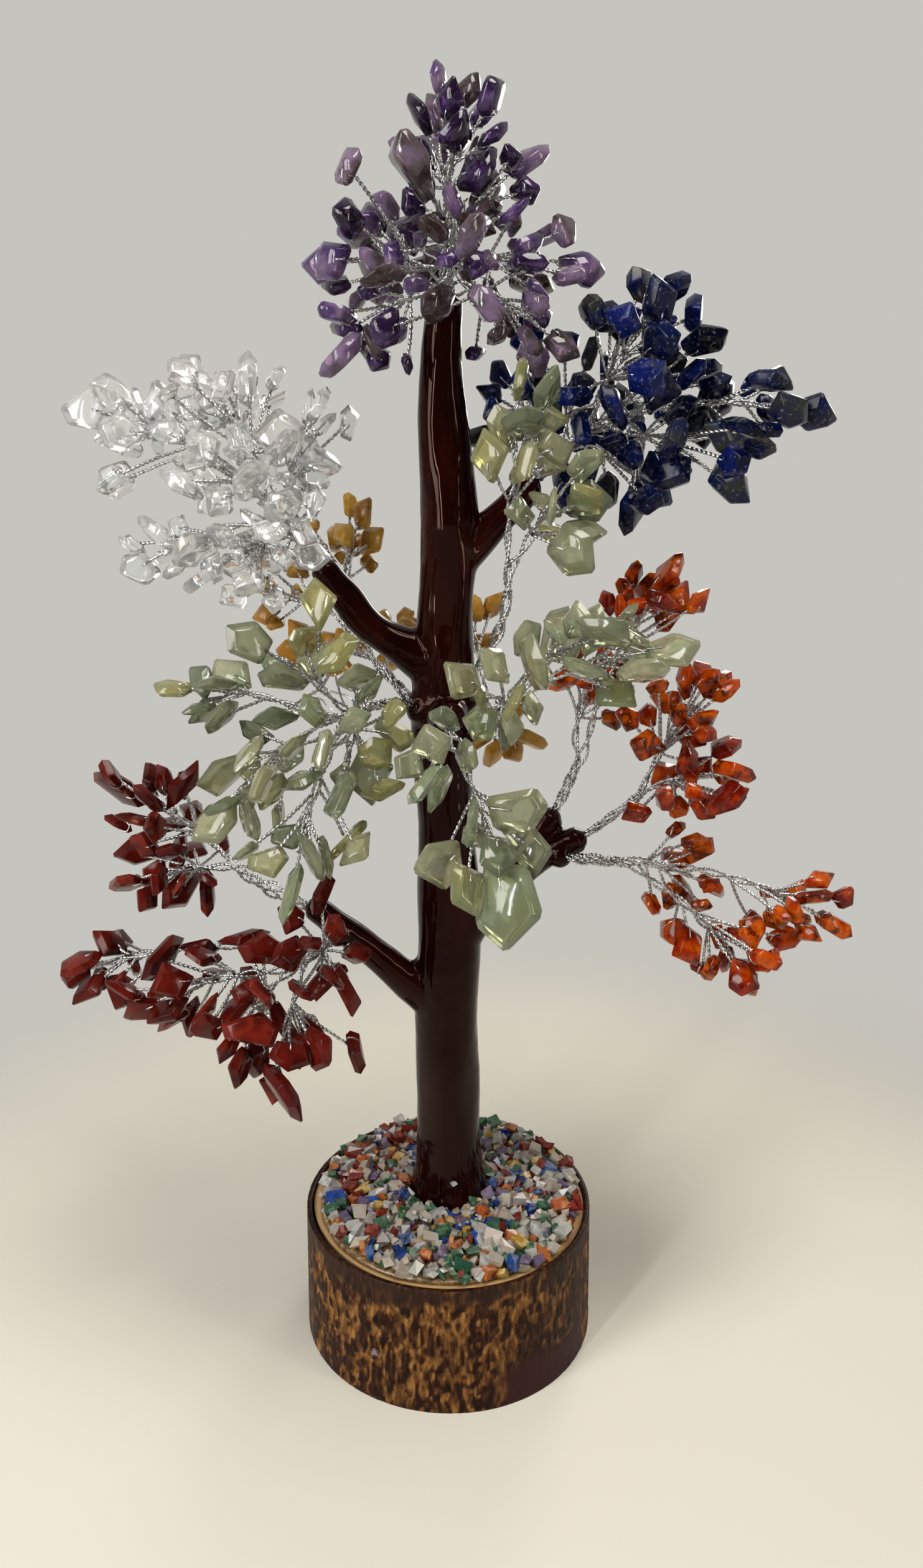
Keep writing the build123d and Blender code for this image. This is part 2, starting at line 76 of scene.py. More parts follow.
def smoothStep(low, high, x):
    t = np.clip((x - low) / (high - low), 0, 1)
    return t * t * (3 - 2 * t)


# lattice noise from -1 to 1: a scrambled number at each corner of a cubic lattice,
# blended between the eight corners round a point by an s-curve in each direction
def lumps(points, cell, seed):
    p = points / (np.asarray(cell, float) * mm)
    low = np.floor(p).astype(np.int64)
    f = p - low
    f = f * f * (3 - 2 * f)
    total = np.zeros(len(p))
    for corner in np.ndindex(2, 2, 2):
        x, y, z = (low + corner).T
        n = (x * 374761393 + y * 668265263 + z * 1442695041 + seed * 974711) & 0x7fffffff
        n = ((n ^ (n >> 13)) * 1274126177) & 0x7fffffff
        value = ((n ^ (n >> 16)) & 65535) / 32767.5 - 1
        total += value * np.prod(np.where(corner, f, 1 - f), axis=1)
    return total


def linear(hexColour):  # sRGB hex to the linear colour that shaders take
    s = np.array([int(hexColour[i:i + 2], 16) / 255 for i in (1, 3, 5)])
    c = np.where(s <= 0.04045, s / 12.92, ((s + 0.055) / 1.055) ** 2.4)
    return (*c.tolist(), 1.0)


def addNode(tree, kind, values=None, links=None, stops=None, **settings):
    node = tree.nodes.new("ShaderNode" + kind)
    for name, value in settings.items():
        setattr(node, name, value)
    for name, value in (values or {}).items():
        node.inputs[name].default_value = value
    for name, source in (links or {}).items():
        tree.links.new(source, node.inputs[name])
    for i, (place, colour) in enumerate(stops or []):
        ramp = node.color_ramp.elements
        stop = ramp[i] if i < 2 else ramp.new(place)
        stop.position = place
        stop.color = linear(colour)
    return node


def newMaterial(name, **values):
    material = bpy.data.materials.new(name)
    material.use_nodes = True
    tree = material.node_tree
    shader = tree.nodes["Principled BSDF"]
    for key, value in values.items():
        shader.inputs[key.replace("_", " ")].default_value = value
    coords = addNode(tree, "TexCoord").outputs["Object"]
    return material, tree, shader, coords


# a material's colour: noise with cells of a size in mm, run through a ramp of colours
def mottle(tree, shader, vector, size, detail, stops):
    noise = addNode(tree, "TexNoise", {"Scale": 1 / (size * mm), "Detail": detail}, {"Vector": vector})
    ramp = addNode(tree, "ValToRGB", links={"Fac": noise.outputs["Fac"]}, stops=stops)
    tree.links.new(ramp.outputs["Color"], shader.inputs["Base Color"])


def addObject(name, data):
    thing = bpy.data.objects.new(name, data)
    scene.collection.objects.link(thing)
    return thing


def finishPiece(name, mesh, material, body, nodes=(), slot=None, fields=None, smooth=True):
    mesh.name = name
    mesh.polygons.foreach_set("use_smooth", np.full(len(mesh.polygons), smooth))
    for field, values in (fields or {}).items():
        layer = mesh.attributes.new(field, "FLOAT", "POINT")
        layer.data.foreach_set("value", np.asarray(values, np.float32))
    mesh.materials.clear()
    mesh.materials.append(material)
    piece = addObject(name, mesh)
    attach(piece, body)
    if nodes:
        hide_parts(*nodes)
    return piece


def putPiece(name, points, faces, *rest, **more):
    mesh = bpy.data.meshes.new(name)
    mesh.from_pydata(np.asarray(points).tolist(), [], [list(f) for f in faces])
    return finishPiece(name, mesh, *rest, **more)


class Heap:  # shapes gathered into one mesh, each with its own tone, and with its own normals if it has any
    def __init__(self):
        self.points, self.faces, self.tones, self.ways, self.count = [], [], [], [], 0

    def add(self, points, faces, tone=0.0, ways=()):
        self.points.append(points)
        self.faces += [[i + self.count for i in f] for f in faces]
        self.tones.append(np.full(len(points), tone))
        self.ways += list(ways)
        self.count += len(points)

    def put(self, name, *rest, **more):
        points = np.concatenate(self.points)
        fields = {"tone": np.concatenate(self.tones)}
        piece = putPiece(name, points, self.faces, *rest, fields=fields, **more)
        if self.ways:
            piece.data.normals_split_custom_set_from_vertices(np.array(self.ways).tolist())
        return piece


# two directions square to a line at each of its points, carried along it without twisting
def carried(line):
    ahead = unit(np.gradient(line, axis=0))
    side = [unit(np.cross(ahead[0], np.eye(3)[np.abs(line[-1] - line[0]).argmin()]))]
    for way in ahead[1:]:
        side.append(unit(side[-1] - way * (side[-1] @ way)))
    return np.array(side), np.cross(ahead, side)


# a closed tube: the profile, in two numbers across the line, set square to it at each point
def sweep(line, profile):
    k, sides = profile.shape[:2]
    side, up = carried(line)
    points = line[:, None] + profile[..., :1] * side[:, None] + profile[..., 1:] * up[:, None]
    ring = np.arange(k * sides).reshape(k, sides)
    turned = np.roll(ring, -1, axis=1)
    quads = np.stack([ring[:-1], turned[:-1], turned[1:], ring[1:]], -1).reshape(-1, 4)
    faces = quads.tolist() + [ring[0][::-1].tolist(), ring[-1].tolist()]
    return points.reshape(-1, 3), faces


# faces over a grid that closes both ways: a point, the next one round, the one across and the next along
def gridFaces(around, along):
    grid = np.arange(around * along).reshape(around, along)
    nextRound = np.roll(grid, -1, 0)
    return np.stack([grid, nextRound, np.roll(nextRound, -1, 1), np.roll(grid, -1, 1)], -1).reshape(-1, 4)


def readVectors(items, field):  # three numbers from each of a mesh's items, as rows
    values = np.empty(len(items) * 3, np.float32)
    items.foreach_get(field, values)
    return values.reshape(-1, 3)


# separate solids of a CAD node: corners at one place are merged, then the lowest label
# spreads along the triangles until each solid has a single one
def cadSolids(node):
    mesh = frame["nodes"][node].data
    points = readVectors(mesh.vertices, "co").astype(float)
    mesh.calc_loop_triangles()
    corners = np.empty(len(mesh.loop_triangles) * 3, np.int32)
    mesh.loop_triangles.foreach_get("vertices", corners)
    places = np.round(points / grain).astype(np.int64)
    first, merged = np.unique(places, axis=0, return_index=True, return_inverse=True)[1:]
    points = points[first]
    corners = merged.reshape(-1)[corners].reshape(-1, 3)
    label = np.arange(len(points))
    while True:
        lowest = label.copy()
        np.minimum.at(lowest, corners.ravel(), np.repeat(label[corners].min(1), 3))
        lowest = lowest[lowest]
        if (lowest == label).all():
            break
        label = lowest
    owner = label[corners[:, 0]]
    order = np.argsort(owner, kind="stable")
    cuts = np.flatnonzero(np.diff(owner[order])) + 1
    for part in np.split(corners[order], cuts):
        used, local = np.unique(part, return_inverse=True)
        yield points[used], local.reshape(-1, 3)


def firstOfEach(same):  # of things that are the same, only the first
    return ~np.tril(same, -1).any(1)


stoneFit = {
    "leastArea": 1e-11,     # square metres, twice the area of the smallest triangle that has a sure direction
    "outside": 0.02,        # a flat with nothing farther out than this is on the chip's outside, mm
    "sameWay": 0.9995,      # cosine between flats that are one
    "sharp": 0.01,          # least volume spanned by three flats' normals that meet in a sure corner
    "past": 0.01,           # a corner may stand this far past a flat, mm
    "sameSpot": 0.05,       # corners nearer than this are one, mm
    "onFlat": 0.03,         # a corner this near a flat belongs to it, mm
    "dentCell": 3.0,        # mm
}


# a tumbled chip: its corners are where three of the CAD chip's flats meet inside all the rest; each flat is
# drawn in about its middle, strips over the edges and caps over the corners join them up, and each point's
# normal is its flat's, leaned outwards, so that flats catch the light as flats and edges look worn round
class Stone:
    def __init__(self, points, corners, stretch, room):
        a, b, c = points[corners].transpose(1, 0, 2)
        across = np.cross(b - a, c - a)
        area = np.linalg.norm(across, axis=1)
        good = area > stoneFit["leastArea"]
        normals = across[good] / area[good, None]
        reach = (normals * a[good]).sum(1)
        outer = (points @ normals.T - reach).max(0) < stoneFit["outside"] * mm  # the drilled seat falls out
        normals, reach = normals[outer], reach[outer]
        first = firstOfEach(normals @ normals.T > stoneFit["sameWay"])
        self.normals, self.reach = normals[first], reach[first]
        trio = np.array(list(itertools.combinations(range(first.sum()), 3)))
        sharp = np.abs(np.linalg.det(self.normals[trio])) > stoneFit["sharp"]
        spots = np.linalg.solve(self.normals[trio[sharp]], self.reach[trio[sharp]][..., None])[..., 0]
        spots = spots[(spots @ self.normals.T - self.reach).max(1) < stoneFit["past"] * mm]
        apart = np.linalg.norm(spots[:, None] - spots, axis=2)
        corners = spots[firstOfEach(apart < stoneFit["sameSpot"] * mm)]
        self.drilled = self.normals, self.reach
        self.middle = corners.mean(0)
        self.axes = np.linalg.svd(corners - self.middle, full_matrices=False)[2]
        stretch = rng.uniform(*stretch)
        stretch = np.minimum(stretch, 1 + (stretch - 1) * room)  # a chip with close neighbours grows less
        inside = (corners - self.middle) @ self.axes.T * stretch
        self.half = (inside.max(0) - inside.min(0)) / 2
        self.corners = self.middle + inside @ self.axes
        away = self.reach - self.normals @ self.middle
        steep = self.normals @ self.axes.T / stretch
        self.normals = unit(steep) @ self.axes
        self.reach = away / np.linalg.norm(steep, axis=1) + self.normals @ self.middle
        self.tone = rng.uniform()

    def holds(self, spots):  # asked of the chip as the CAD has it
        normals, reach = self.drilled
        return (spots @ normals.T - reach).max(1) < 0

    def surface(self, ways):  # distance from the middle to the nearest flat each way
        room = self.reach - self.normals @ self.middle
        return 1 / (np.maximum(ways @ self.normals.T, 1e-9) / room).max(1)

    def shape(self, worn, lean, dent):
        points, ways, faces, spot, left = [], [], [], {}, {}
        k = rng.uniform(*worn)
        for normal, reach in zip(self.normals, self.reach):
            on = np.flatnonzero(np.abs(self.corners @ normal - reach) < stoneFit["onFlat"] * mm)
            if len(on) < 3:
                continue
            middle = self.corners[on].mean(0)
            spoke = self.corners[on] - middle
            side = unit(spoke[0])
            on = on[np.arctan2(spoke @ np.cross(normal, side), spoke @ side).argsort()].tolist()
            for i, j in zip(on, on[1:] + on[:1]):
                left[i, j] = len(faces)
                spot[len(faces), i] = len(points)
                points.append(middle + (self.corners[i] - middle) * (1 - k))
                ways.append(normal)
            faces.append([spot[len(faces), i] for i in on])
        following = {(m, i): j for (i, j), m in left.items()}
        for (i, j), m in left.items():
            if i < j and (j, i) in left:
                o = left[j, i]
                faces.append([spot[m, j], spot[m, i], spot[o, i], spot[o, j]])
        for i in range(len(self.corners)):
            m = next(m for m, c in spot if c == i)
            cap = []
            while m is not None and spot[m, i] not in cap:
                cap.append(spot[m, i])
                m = left.get((following[m, i], i))
            faces.append(cap[::-1])
        points, ways = np.array(points), np.array(ways)
        ways = unit(ways * (1 - lean) + unit(points - self.middle) * lean)
        points += ways * (lumps(points, stoneFit["dentCell"], seed=3) * dent * mm)[:, None]
        return points, [f for f in faces if len(f) > 2], self.tone, ways


wireLook = {
    "ropeOver": 1.4,        # a CAD wire with a radius over this is the rope, mm
    "twigUnder": 0.7,       # and one with no more than this is a twig
    "pairHalf": 0.48,       # half width of a twisted pair, mm
    "pairPitch": 2.4,
    "pairTurn": 6,          # a pair starts turned by up to this, radians
    "ringsPerTurn": 5,
    "softenings": 14,       # times that a strand's line is smoothed
    "ropeEnds": (-1.6, -1.2),   # how far a line runs past its CAD wire's two ends, mm
    "sprigEnds": (-1.5, 0.6),
    "twigEnds": (1.5, -0.6),
    "twigBow": 0.035,       # of its length
    "strands": 2,           # pairs in each sprig; they run on down the rope to its mouth
    "pitch": 15.0,
    "leaves": 4,            # a sprig leaves the rope's line this many points before the nearest one
    "sprigLay": 0.45,       # half width of a sprig's strands, mm
    "sprigFan": 0.8,        # how far they part half way
    "fanRuns": (10, 8),     # mm over which they part, and close again
    "mouthLay": 0.8,
    "mouthRun": 5.0,        # from the mouth to the rope's full width, mm
    "narrowRun": (2, 6),    # from before a sprig leaves to after it, its strands close up, mm
    "tightness": (0.5, 1.0),    # of the half width, drawn for each strand
    "waver": 0.2,           # how far a strand goes nearer and farther, its run in mm, and its shift
    "waverRun": 3.7,
    "waverShift": 2.3,
    "ropeLay": {"quartz": (2.3, 0.8), "amethyst_crown": (1.7, 1.7),  # half widths across, mm
                "lapis": (1.5, 1.5), "red_upper": (2.0, 1.2)},
    "plainLay": (1.15, 1.15),
    "looseEnds": {"amethyst_crown": 22, "lapis": 8, "quartz": 6, "green_left": 6},
    "looseSteps": 9,
    "looseStep": 1.1,       # mm
    "looseTurn": 0.8,       # how far it may turn at a step, and how much it keeps to the rope's way
    "looseAhead": 0.7,
    "loopRadius": 0.21,
    "loopPlaces": (-1, -1, -0.8, -0.45, -0.15, 0.15, 0.45, 0.8, 1, 1),  # hole to hole, nought at the edge
    "loopReach": 0.60,      # from the chip's edge to its hole, of the half length
    "loopWide": 0.9,        # from the middle to the loop at the edge, of the half length
    "loopSink": 0.97,       # of the way out to the chip's surface
    "loopHole": 0.7,        # how far its ends go down into the holes, mm
}
# two round wires side by side, and one wire alone
pairOutline = np.array([(1, 0), (0.42, 0.46), (-0.42, 0.46), (-1, 0), (-0.42, -0.46), (0.42, -0.46)])
loopOutline = np.array([(1, 0), (0, 1), (-1, 0), (0, -1)])
ringStep = wireLook["pairPitch"] * mm / wireLook["ringsPerTurn"]


def runAlong(line):  # length from the line's start to each of its points
    return np.concatenate([[0], np.cumsum(np.linalg.norm(np.diff(line, axis=0), axis=1))])


# two wires twisted together: the outline of the pair turns once in each pitch along the line
def twistedPair(line, start):
    turn = (2 * np.pi * (runAlong(line) / (wireLook["pairPitch"] * mm)) + start)[:, None]
    x, y = pairOutline.T * wireLook["pairHalf"] * mm
    profile = np.stack([x * np.cos(turn) - y * np.sin(turn), x * np.sin(turn) + y * np.cos(turn)], -1)
    return sweep(line, profile)


def singleWire(line):  # the same small outline all along the line
    return sweep(line, np.repeat(loopOutline[None] * wireLook["loopRadius"] * mm, len(line), 0))


# evenly spaced points along a line, each then drawn a few times to the mean of its neighbours
def evenLine(line):
    run = runAlong(line)
    even = np.linspace(0, run[-1], max(5, int(run[-1] / ringStep) + 1))  # at least five
    line = np.stack([np.interp(even, run, c) for c in line.T], 1)
    for _ in range(wireLook["softenings"]):
        line[1:-1] = (line[:-2] + 2 * line[1:-1] + line[2:]) / 4
    return line, even


# a strand: it runs round its line in an oval, once in each pitch, a little nearer and farther as it
# goes; the oval is as wide as the rope up to where the sprig leaves, and then narrows to the sprig
def strandLine(line, run, leaves, lay, start):
    side, up = carried(line)
    turn = 2 * np.pi * run / (wireLook["pitch"] * mm) + start
    full, (before, after) = wireLook["mouthRun"], wireLook["narrowRun"]
    narrow = max(leaves / mm - before, full)
    knots = np.array((0, full, narrow, max(leaves / mm + after, full + 3))) * mm
    wide, deep = (np.interp(run, knots, (wireLook["mouthLay"], w, w, wireLook["sprigLay"])) for w in lay)
    opening, closing = wireLook["fanRuns"]
    parted = smoothStep(leaves, leaves + opening * mm, run) * smoothStep(run[-1], run[-1] - closing * mm, run)
    waver = wireLook["waver"] * np.sin(run / (wireLook["waverRun"] * mm) + wireLook["waverShift"] * start)
    loose = mm * rng.uniform(*wireLook["tightness"]) * (1 + waver + wireLook["sprigFan"] * parted)
    return line + side * (loose * wide * np.cos(turn))[:, None] + up * (loose * deep * np.sin(turn))[:, None]


# middle line of a wire: straight between the middles of its two ends, or, where the mesh has
# corners between, with the two directions across it fitted as a square curve of the length
class WireLine:
    def __init__(self, points):
        self.middle = points.mean(0)
        self.axes = np.linalg.svd(points - self.middle, full_matrices=False)[2]
        t = (points - self.middle) @ self.axes[0]
        centre = (t.min() + t.max()) / 2
        bent = (np.abs(t - centre) < (t.max() - t.min()) / 4).any()
        if not bent:
            low, high = points[t < centre].mean(0), points[t > centre].mean(0)
            self.middle = (low + high) / 2
            along = unit(high - low)
            side = unit(np.cross(along, np.eye(3)[np.abs(along).argmin()]))
            self.axes = np.stack([along, side, np.cross(along, side)])
        t, u, v = ((points - self.middle) @ self.axes.T).T
        self.bend = [np.polyfit(t, w, 2) if bent else np.zeros(3) for w in (u, v)]
        self.low, self.high = t.min(), t.max()
        away = np.hypot(u - np.polyval(self.bend[0], t), v - np.polyval(self.bend[1], t))
        self.radius = away.max()

    def at(self, t):
        t = np.asarray(t, float)
        across = [np.polyval(bend, t) for bend in self.bend]
        return self.middle + np.stack([t, *across], -1) @ self.axes

    def turnRound(self):
        self.axes[0] *= -1
        self.bend = [b * np.array((1, -1, 1)) for b in self.bend]
        self.low, self.high = -self.high, -self.low

    def points(self, before, after):  # along the wire and on past its two ends, at least four
        low, high = self.low - before * mm, self.high + after * mm
        return self.at(np.linspace(low, high, max(4, int((high - low) / ringStep) + 1)))


# a spray's wire: twisted pairs from the mouth up the rope and out along each sprig, and for each chip one
# bowed pair from its sprig, with the loop that holds the chip
def dressWires(name, stones, heap):
    wires = [WireLine(points) for points, _ in cadSolids(name + "_wires")]
    thick, thin = wireLook["ropeOver"] * mm, wireLook["twigUnder"] * mm
    rope = [w for w in wires if w.radius > thick][0]
    sprigs = [w for w in wires if thin < w.radius <= thick]
    twigs = [w for w in wires if w.radius <= thin]
    joint = [j for j in frame["joints"] if j["child"] == name][0]
    root = np.array(joint["pos_m"])
    if np.linalg.norm(rope.at(rope.low) - root) > np.linalg.norm(rope.at(rope.high) - root):
        rope.turnRound()
    ropeLine = rope.points(*wireLook["ropeEnds"])
    ropeWay = unit(ropeLine[-1] - ropeLine[0])
    lay = wireLook["ropeLay"].get(name, wireLook["plainLay"])
    for _ in range(wireLook["looseEnds"].get(name, 0)):
        start = ropeLine[rng.integers(len(ropeLine) // 2, len(ropeLine))]
        heap.add(*looseEnd(start, ropeWay))
    for k, sprig in enumerate(sprigs):
        gaps = [np.linalg.norm(ropeLine - sprig.at(t), axis=1) for t in (sprig.low, sprig.high)]
        if gaps[0].min() > gaps[1].min():
            sprig.turnRound()
            gaps.reverse()
        down = ropeLine[:max(gaps[0].argmin() - wireLook["leaves"], 3)]
        line, run = evenLine(np.concatenate([down, sprig.points(*wireLook["sprigEnds"])]))
        leaves = np.linalg.norm(down[-1] - down[0])
        for s in range(wireLook["strands"]):
            start = 2 * np.pi * (k + s * len(sprigs)) / (wireLook["strands"] * len(sprigs))
            strand = strandLine(line, run, leaves, lay, start)
            heap.add(*twistedPair(strand, rng.uniform(0, wireLook["pairTurn"])))
    ends = np.array([[w.at(w.low), w.at(w.high)] for w in twigs]).reshape(-1, 3)
    for stone in stones:
        found = np.flatnonzero(stone.holds(ends))
        twig = twigs[found[0] // 2]
        if found[0] % 2 == 0:
            twig.turnRound()
        line = twig.points(*wireLook["twigEnds"])
        share = np.linspace(0, 1, len(line))
        length = np.linalg.norm(line[-1] - line[0])
        bow = np.cross(unit(line[-1] - line[0]), unit(rng.normal(size=3))) * length * wireLook["twigBow"]
        line = line + np.sin(np.pi * share)[:, None] * bow
        heap.add(*twistedPair(line, rng.uniform(0, wireLook["pairTurn"])))
        heap.add(*holdingLoop(stone, twig.at(twig.high)))


# a loose end: a single thin wire that starts on the rope and wanders outwards in short steps, each
# near the way of the one before
def looseEnd(start, ahead):
    turns = unit(rng.normal(size=(wireLook["looseSteps"], 3))) * wireLook["looseTurn"]
    ways = np.cumsum(turns, 0) + unit(rng.normal(size=3)) + wireLook["looseAhead"] * ahead
    line = start + np.cumsum(unit(ways), 0) * wireLook["looseStep"] * mm
    return singleWire(line)


# the wire that holds a chip: out of a hole in one flat, over the edge where the twig
# arrives and into the hole in the other flat, lying on the chip's surface
def holdingLoop(stone, seat):
    flat = stone.axes[2]
    edge = seat - stone.middle
    edge = unit(edge - flat * (edge @ flat))
    s = np.array(wireLook["loopPlaces"])
    inward = 1 - wireLook["loopReach"] * np.abs(s)
    reach = stone.half[0] * wireLook["loopWide"]
    lift = np.sign(s) * np.sqrt(np.abs(s)) * stone.half[2]
    ways = unit(edge * (inward * reach)[:, None] + flat * lift[:, None])
    out = stone.surface(ways) * wireLook["loopSink"] + wireLook["loopRadius"] * mm / 2
    out[[0, -1]] -= wireLook["loopHole"] * mm
    return singleWire(stone.middle + ways * out[:, None])


silverWire, tree, shader, coords = newMaterial(  # soft tinned wire, drawn and bright: sharp small glints
    "silverWire", Metallic=1.0, Roughness=0.24)
mottle(tree, shader, coords, 1.5, 2.0, [(0.3, "#8f8e8c"), (0.65, "#d8d8d9")])

# polished stones: colours that chips draw from, cloud and spot size in mm, how much light goes through, how
# far tumbling has worn the edges and leaned the normals outwards, the depth of dents in mm, how much light
# the polish throws back, and the least and most that a chip is stretched along, across and through
stoneLooks = {
    "amethyst": {"colours": ["#1f0f26", "#361f49", "#563b70", "#8f7697", "#5f5055", "#382726"],
                 "cloud": 6.0, "cloudy": 0.40, "spot": 0.9, "spotColour": "#b9a8bd", "spots": 0.20,
                 "through": 0.45, "rough": 0.07, "worn": (0.16, 0.38), "lean": 0.44, "dent": 0.35,
                 "shine": 0.35, "stretch": ((1.08, 1.08, 0.55), (1.50, 1.42, 0.85))},
    "lapis": {"colours": ["#020411", "#050c2c", "#0b1856", "#03071e", "#081038", "#2b2c29"],
              "cloud": 6.0, "cloudy": 0.35, "spot": 0.8, "spotColour": "#7d8186", "spots": 0.50,
              "through": 0.0, "rough": 0.16, "worn": (0.08, 0.22), "lean": 0.25, "dent": 0.2, "shine": 0.16,
              "stretch": ((1.05, 1.05, 0.70), (1.38, 1.35, 0.95))},
    "quartz": {"colours": ["#fbfcfc", "#f6f8f8", "#fdfdfc", "#f8f9f8", "#f2f5f5", "#fbf8f5"],
               "cloud": 2.4, "cloudy": 0.25, "spot": 0.8, "spotColour": "#ffffff", "spots": 0.30,
               "through": 0.86, "rough": 0.02, "worn": (0.10, 0.28), "lean": 0.30, "dent": 0.35, "shine": 0.5,
               "stretch": ((1.05, 1.05, 0.58), (1.38, 1.32, 0.88))},
    "yellow": {"colours": ["#9a6818", "#b68228", "#cb9e42", "#8a5a16", "#c08e34", "#a67022"],
               "cloud": 5.0, "cloudy": 0.35, "spot": 0.6, "spotColour": "#70430f", "spots": 0.25,
               "through": 0.08, "rough": 0.18, "worn": (0.14, 0.30), "lean": 0.38, "dent": 0.25, "shine": 0.3,
               "stretch": ((1.05, 1.05, 0.70), (1.30, 1.25, 0.95))},
    "green": {"colours": ["#808a6c", "#999e80", "#b6b796", "#aca66a", "#9dab8a", "#cac7a4"],
              "cloud": 7.0, "cloudy": 0.20, "spot": 0.55, "spotColour": "#4a6446", "spots": 0.22,
              "through": 0.68, "rough": 0.10, "worn": (0.12, 0.28), "lean": 0.26, "dent": 0.35, "shine": 0.35,
              "stretch": ((1.00, 1.05, 0.40), (1.30, 1.32, 0.62))},
    "carnelian": {"colours": ["#661003", "#a63204", "#d45e09", "#440803", "#c44804", "#7a1a03"],
                  "cloud": 5.0, "cloudy": 0.50, "spot": 1.0, "spotColour": "#300805", "spots": 0.50,
                  "through": 0.22, "rough": 0.10, "worn": (0.06, 0.20), "lean": 0.28, "dent": 0.45,
                  "shine": 0.18, "stretch": ((1.10, 1.10, 0.70), (1.45, 1.40, 1.00))},
    "red": {"colours": ["#490d08", "#5d160d", "#3a0905", "#702014", "#300503", "#55140c"],
            "cloud": 6.0, "cloudy": 0.30, "spot": 0.8, "spotColour": "#3a0906", "spots": 0.25,
            "through": 0.0, "rough": 0.14, "worn": (0.05, 0.14), "lean": 0.20, "dent": 0.45, "shine": 0.18,
            "stretch": ((1.08, 1.05, 0.50), (1.50, 1.38, 0.82))},
}
polish = {"specks": (0.60, 0.72), "pit": 1.6, "pitDepth": 0.12, "pitting": 0.25}  # noise range; pits in mm


# tumbled stone: clear to solid colour with clouds and specks in it, bright glints on slightly pitted flats
def polishedStone(name, look):
    material, tree, shader, coords = newMaterial(
        "polished" + name.capitalize(), Roughness=look["rough"], IOR=1.54,
        Transmission_Weight=look["through"], Specular_IOR_Level=look["shine"])
    tone = addNode(tree, "Attribute", attribute_name="tone").outputs["Fac"]
    cloud = addNode(tree, "TexNoise", {"Scale": 1 / (look["cloud"] * mm), "Detail": 3.0}, {"Vector": coords})
    # noise is about a half, so the clouds shift a chip's tone as far down as up
    shifted = addNode(tree, "Math", {1: 3 * look["cloudy"], 2: -1.5 * look["cloudy"]},
                      {0: cloud.outputs["Fac"]}, operation="MULTIPLY_ADD")
    drawn = addNode(tree, "Math", links={0: tone, 1: shifted.outputs[0]}, operation="ADD", use_clamp=True)
    count = len(look["colours"])
    body = addNode(tree, "ValToRGB", links={"Fac": drawn.outputs[0]},
                   stops=[(i / (count - 1), c) for i, c in enumerate(look["colours"])])
    spot = addNode(tree, "TexNoise", {"Scale": 1 / (look["spot"] * mm), "Detail": 2.0}, {"Vector": coords})
    low, high = polish["specks"]
    speck = addNode(tree, "MapRange", {"From Min": low, "From Max": high, "To Max": look["spots"]},
                    {"Value": spot.outputs["Fac"]})
    mixed = addNode(tree, "MixRGB", {"Color2": linear(look["spotColour"])},
                    {"Fac": speck.outputs["Result"], "Color1": body.outputs["Color"]})
    tree.links.new(mixed.outputs["Color"], shader.inputs["Base Color"])
    pit = addNode(tree, "TexNoise", {"Scale": 1 / (polish["pit"] * mm), "Detail": 4.0}, {"Vector": coords})
    bump = addNode(tree, "Bump", {"Strength": polish["pitting"], "Distance": polish["pitDepth"] * mm},
                   {"Height": pit.outputs["Fac"]})
    tree.links.new(bump.outputs["Normal"], shader.inputs["Normal"])
    return material


# mm from a chip's middle to the trunk or to the nearest chip of another spray: up to the first it isn't made
# longer or wider, and from the second on it has its full stretch
swayRoom = (10, 20)
stoneSlots = {"yellow": "yellow_stone", "green": "green_stone", "red": "red_stone"}
stoneMaterials = {name: polishedStone(name, look) for name, look in stoneLooks.items()}
sprayNames = [body for body in frame["bodies"] if body != "stand"]
chipSolids = {spray: list(cadSolids(spray + "_chips")) for spray in sprayNames}
middles = {spray: np.array([points.mean(0) for points, _ in chipSolids[spray]]) for spray in sprayNames}
trunkPoints = np.concatenate([points for points, _ in cadSolids("trunk")])
for spray in sprayNames:
    kind = spray.split("_")[0]
    look = stoneLooks[kind]
    others = np.concatenate([trunkPoints] + [middles[other] for other in sprayNames if other != spray])
    gaps = np.linalg.norm(middles[spray][:, None] - others, axis=2).min(1)
    rooms = smoothStep(swayRoom[0] * mm, swayRoom[1] * mm, gaps)
    stones = [Stone(*solid, look["stretch"], room) for solid, room in zip(chipSolids[spray], rooms)]
    chips = Heap()
    for stone in stones:
        chips.add(*stone.shape(look["worn"], look["lean"], look["dent"]))
    chips.put("stones_" + spray, stoneMaterials[kind], spray, nodes=[spray + "_chips"],
              slot=stoneSlots.get(kind, kind))
    wire = Heap()
    dressWires(spray, stones, wire)
    wire.put("wire_" + spray, silverWire, spray, nodes=[spray + "_wires"], slot="wire")
    print("spray", spray, len(stones), "stones")

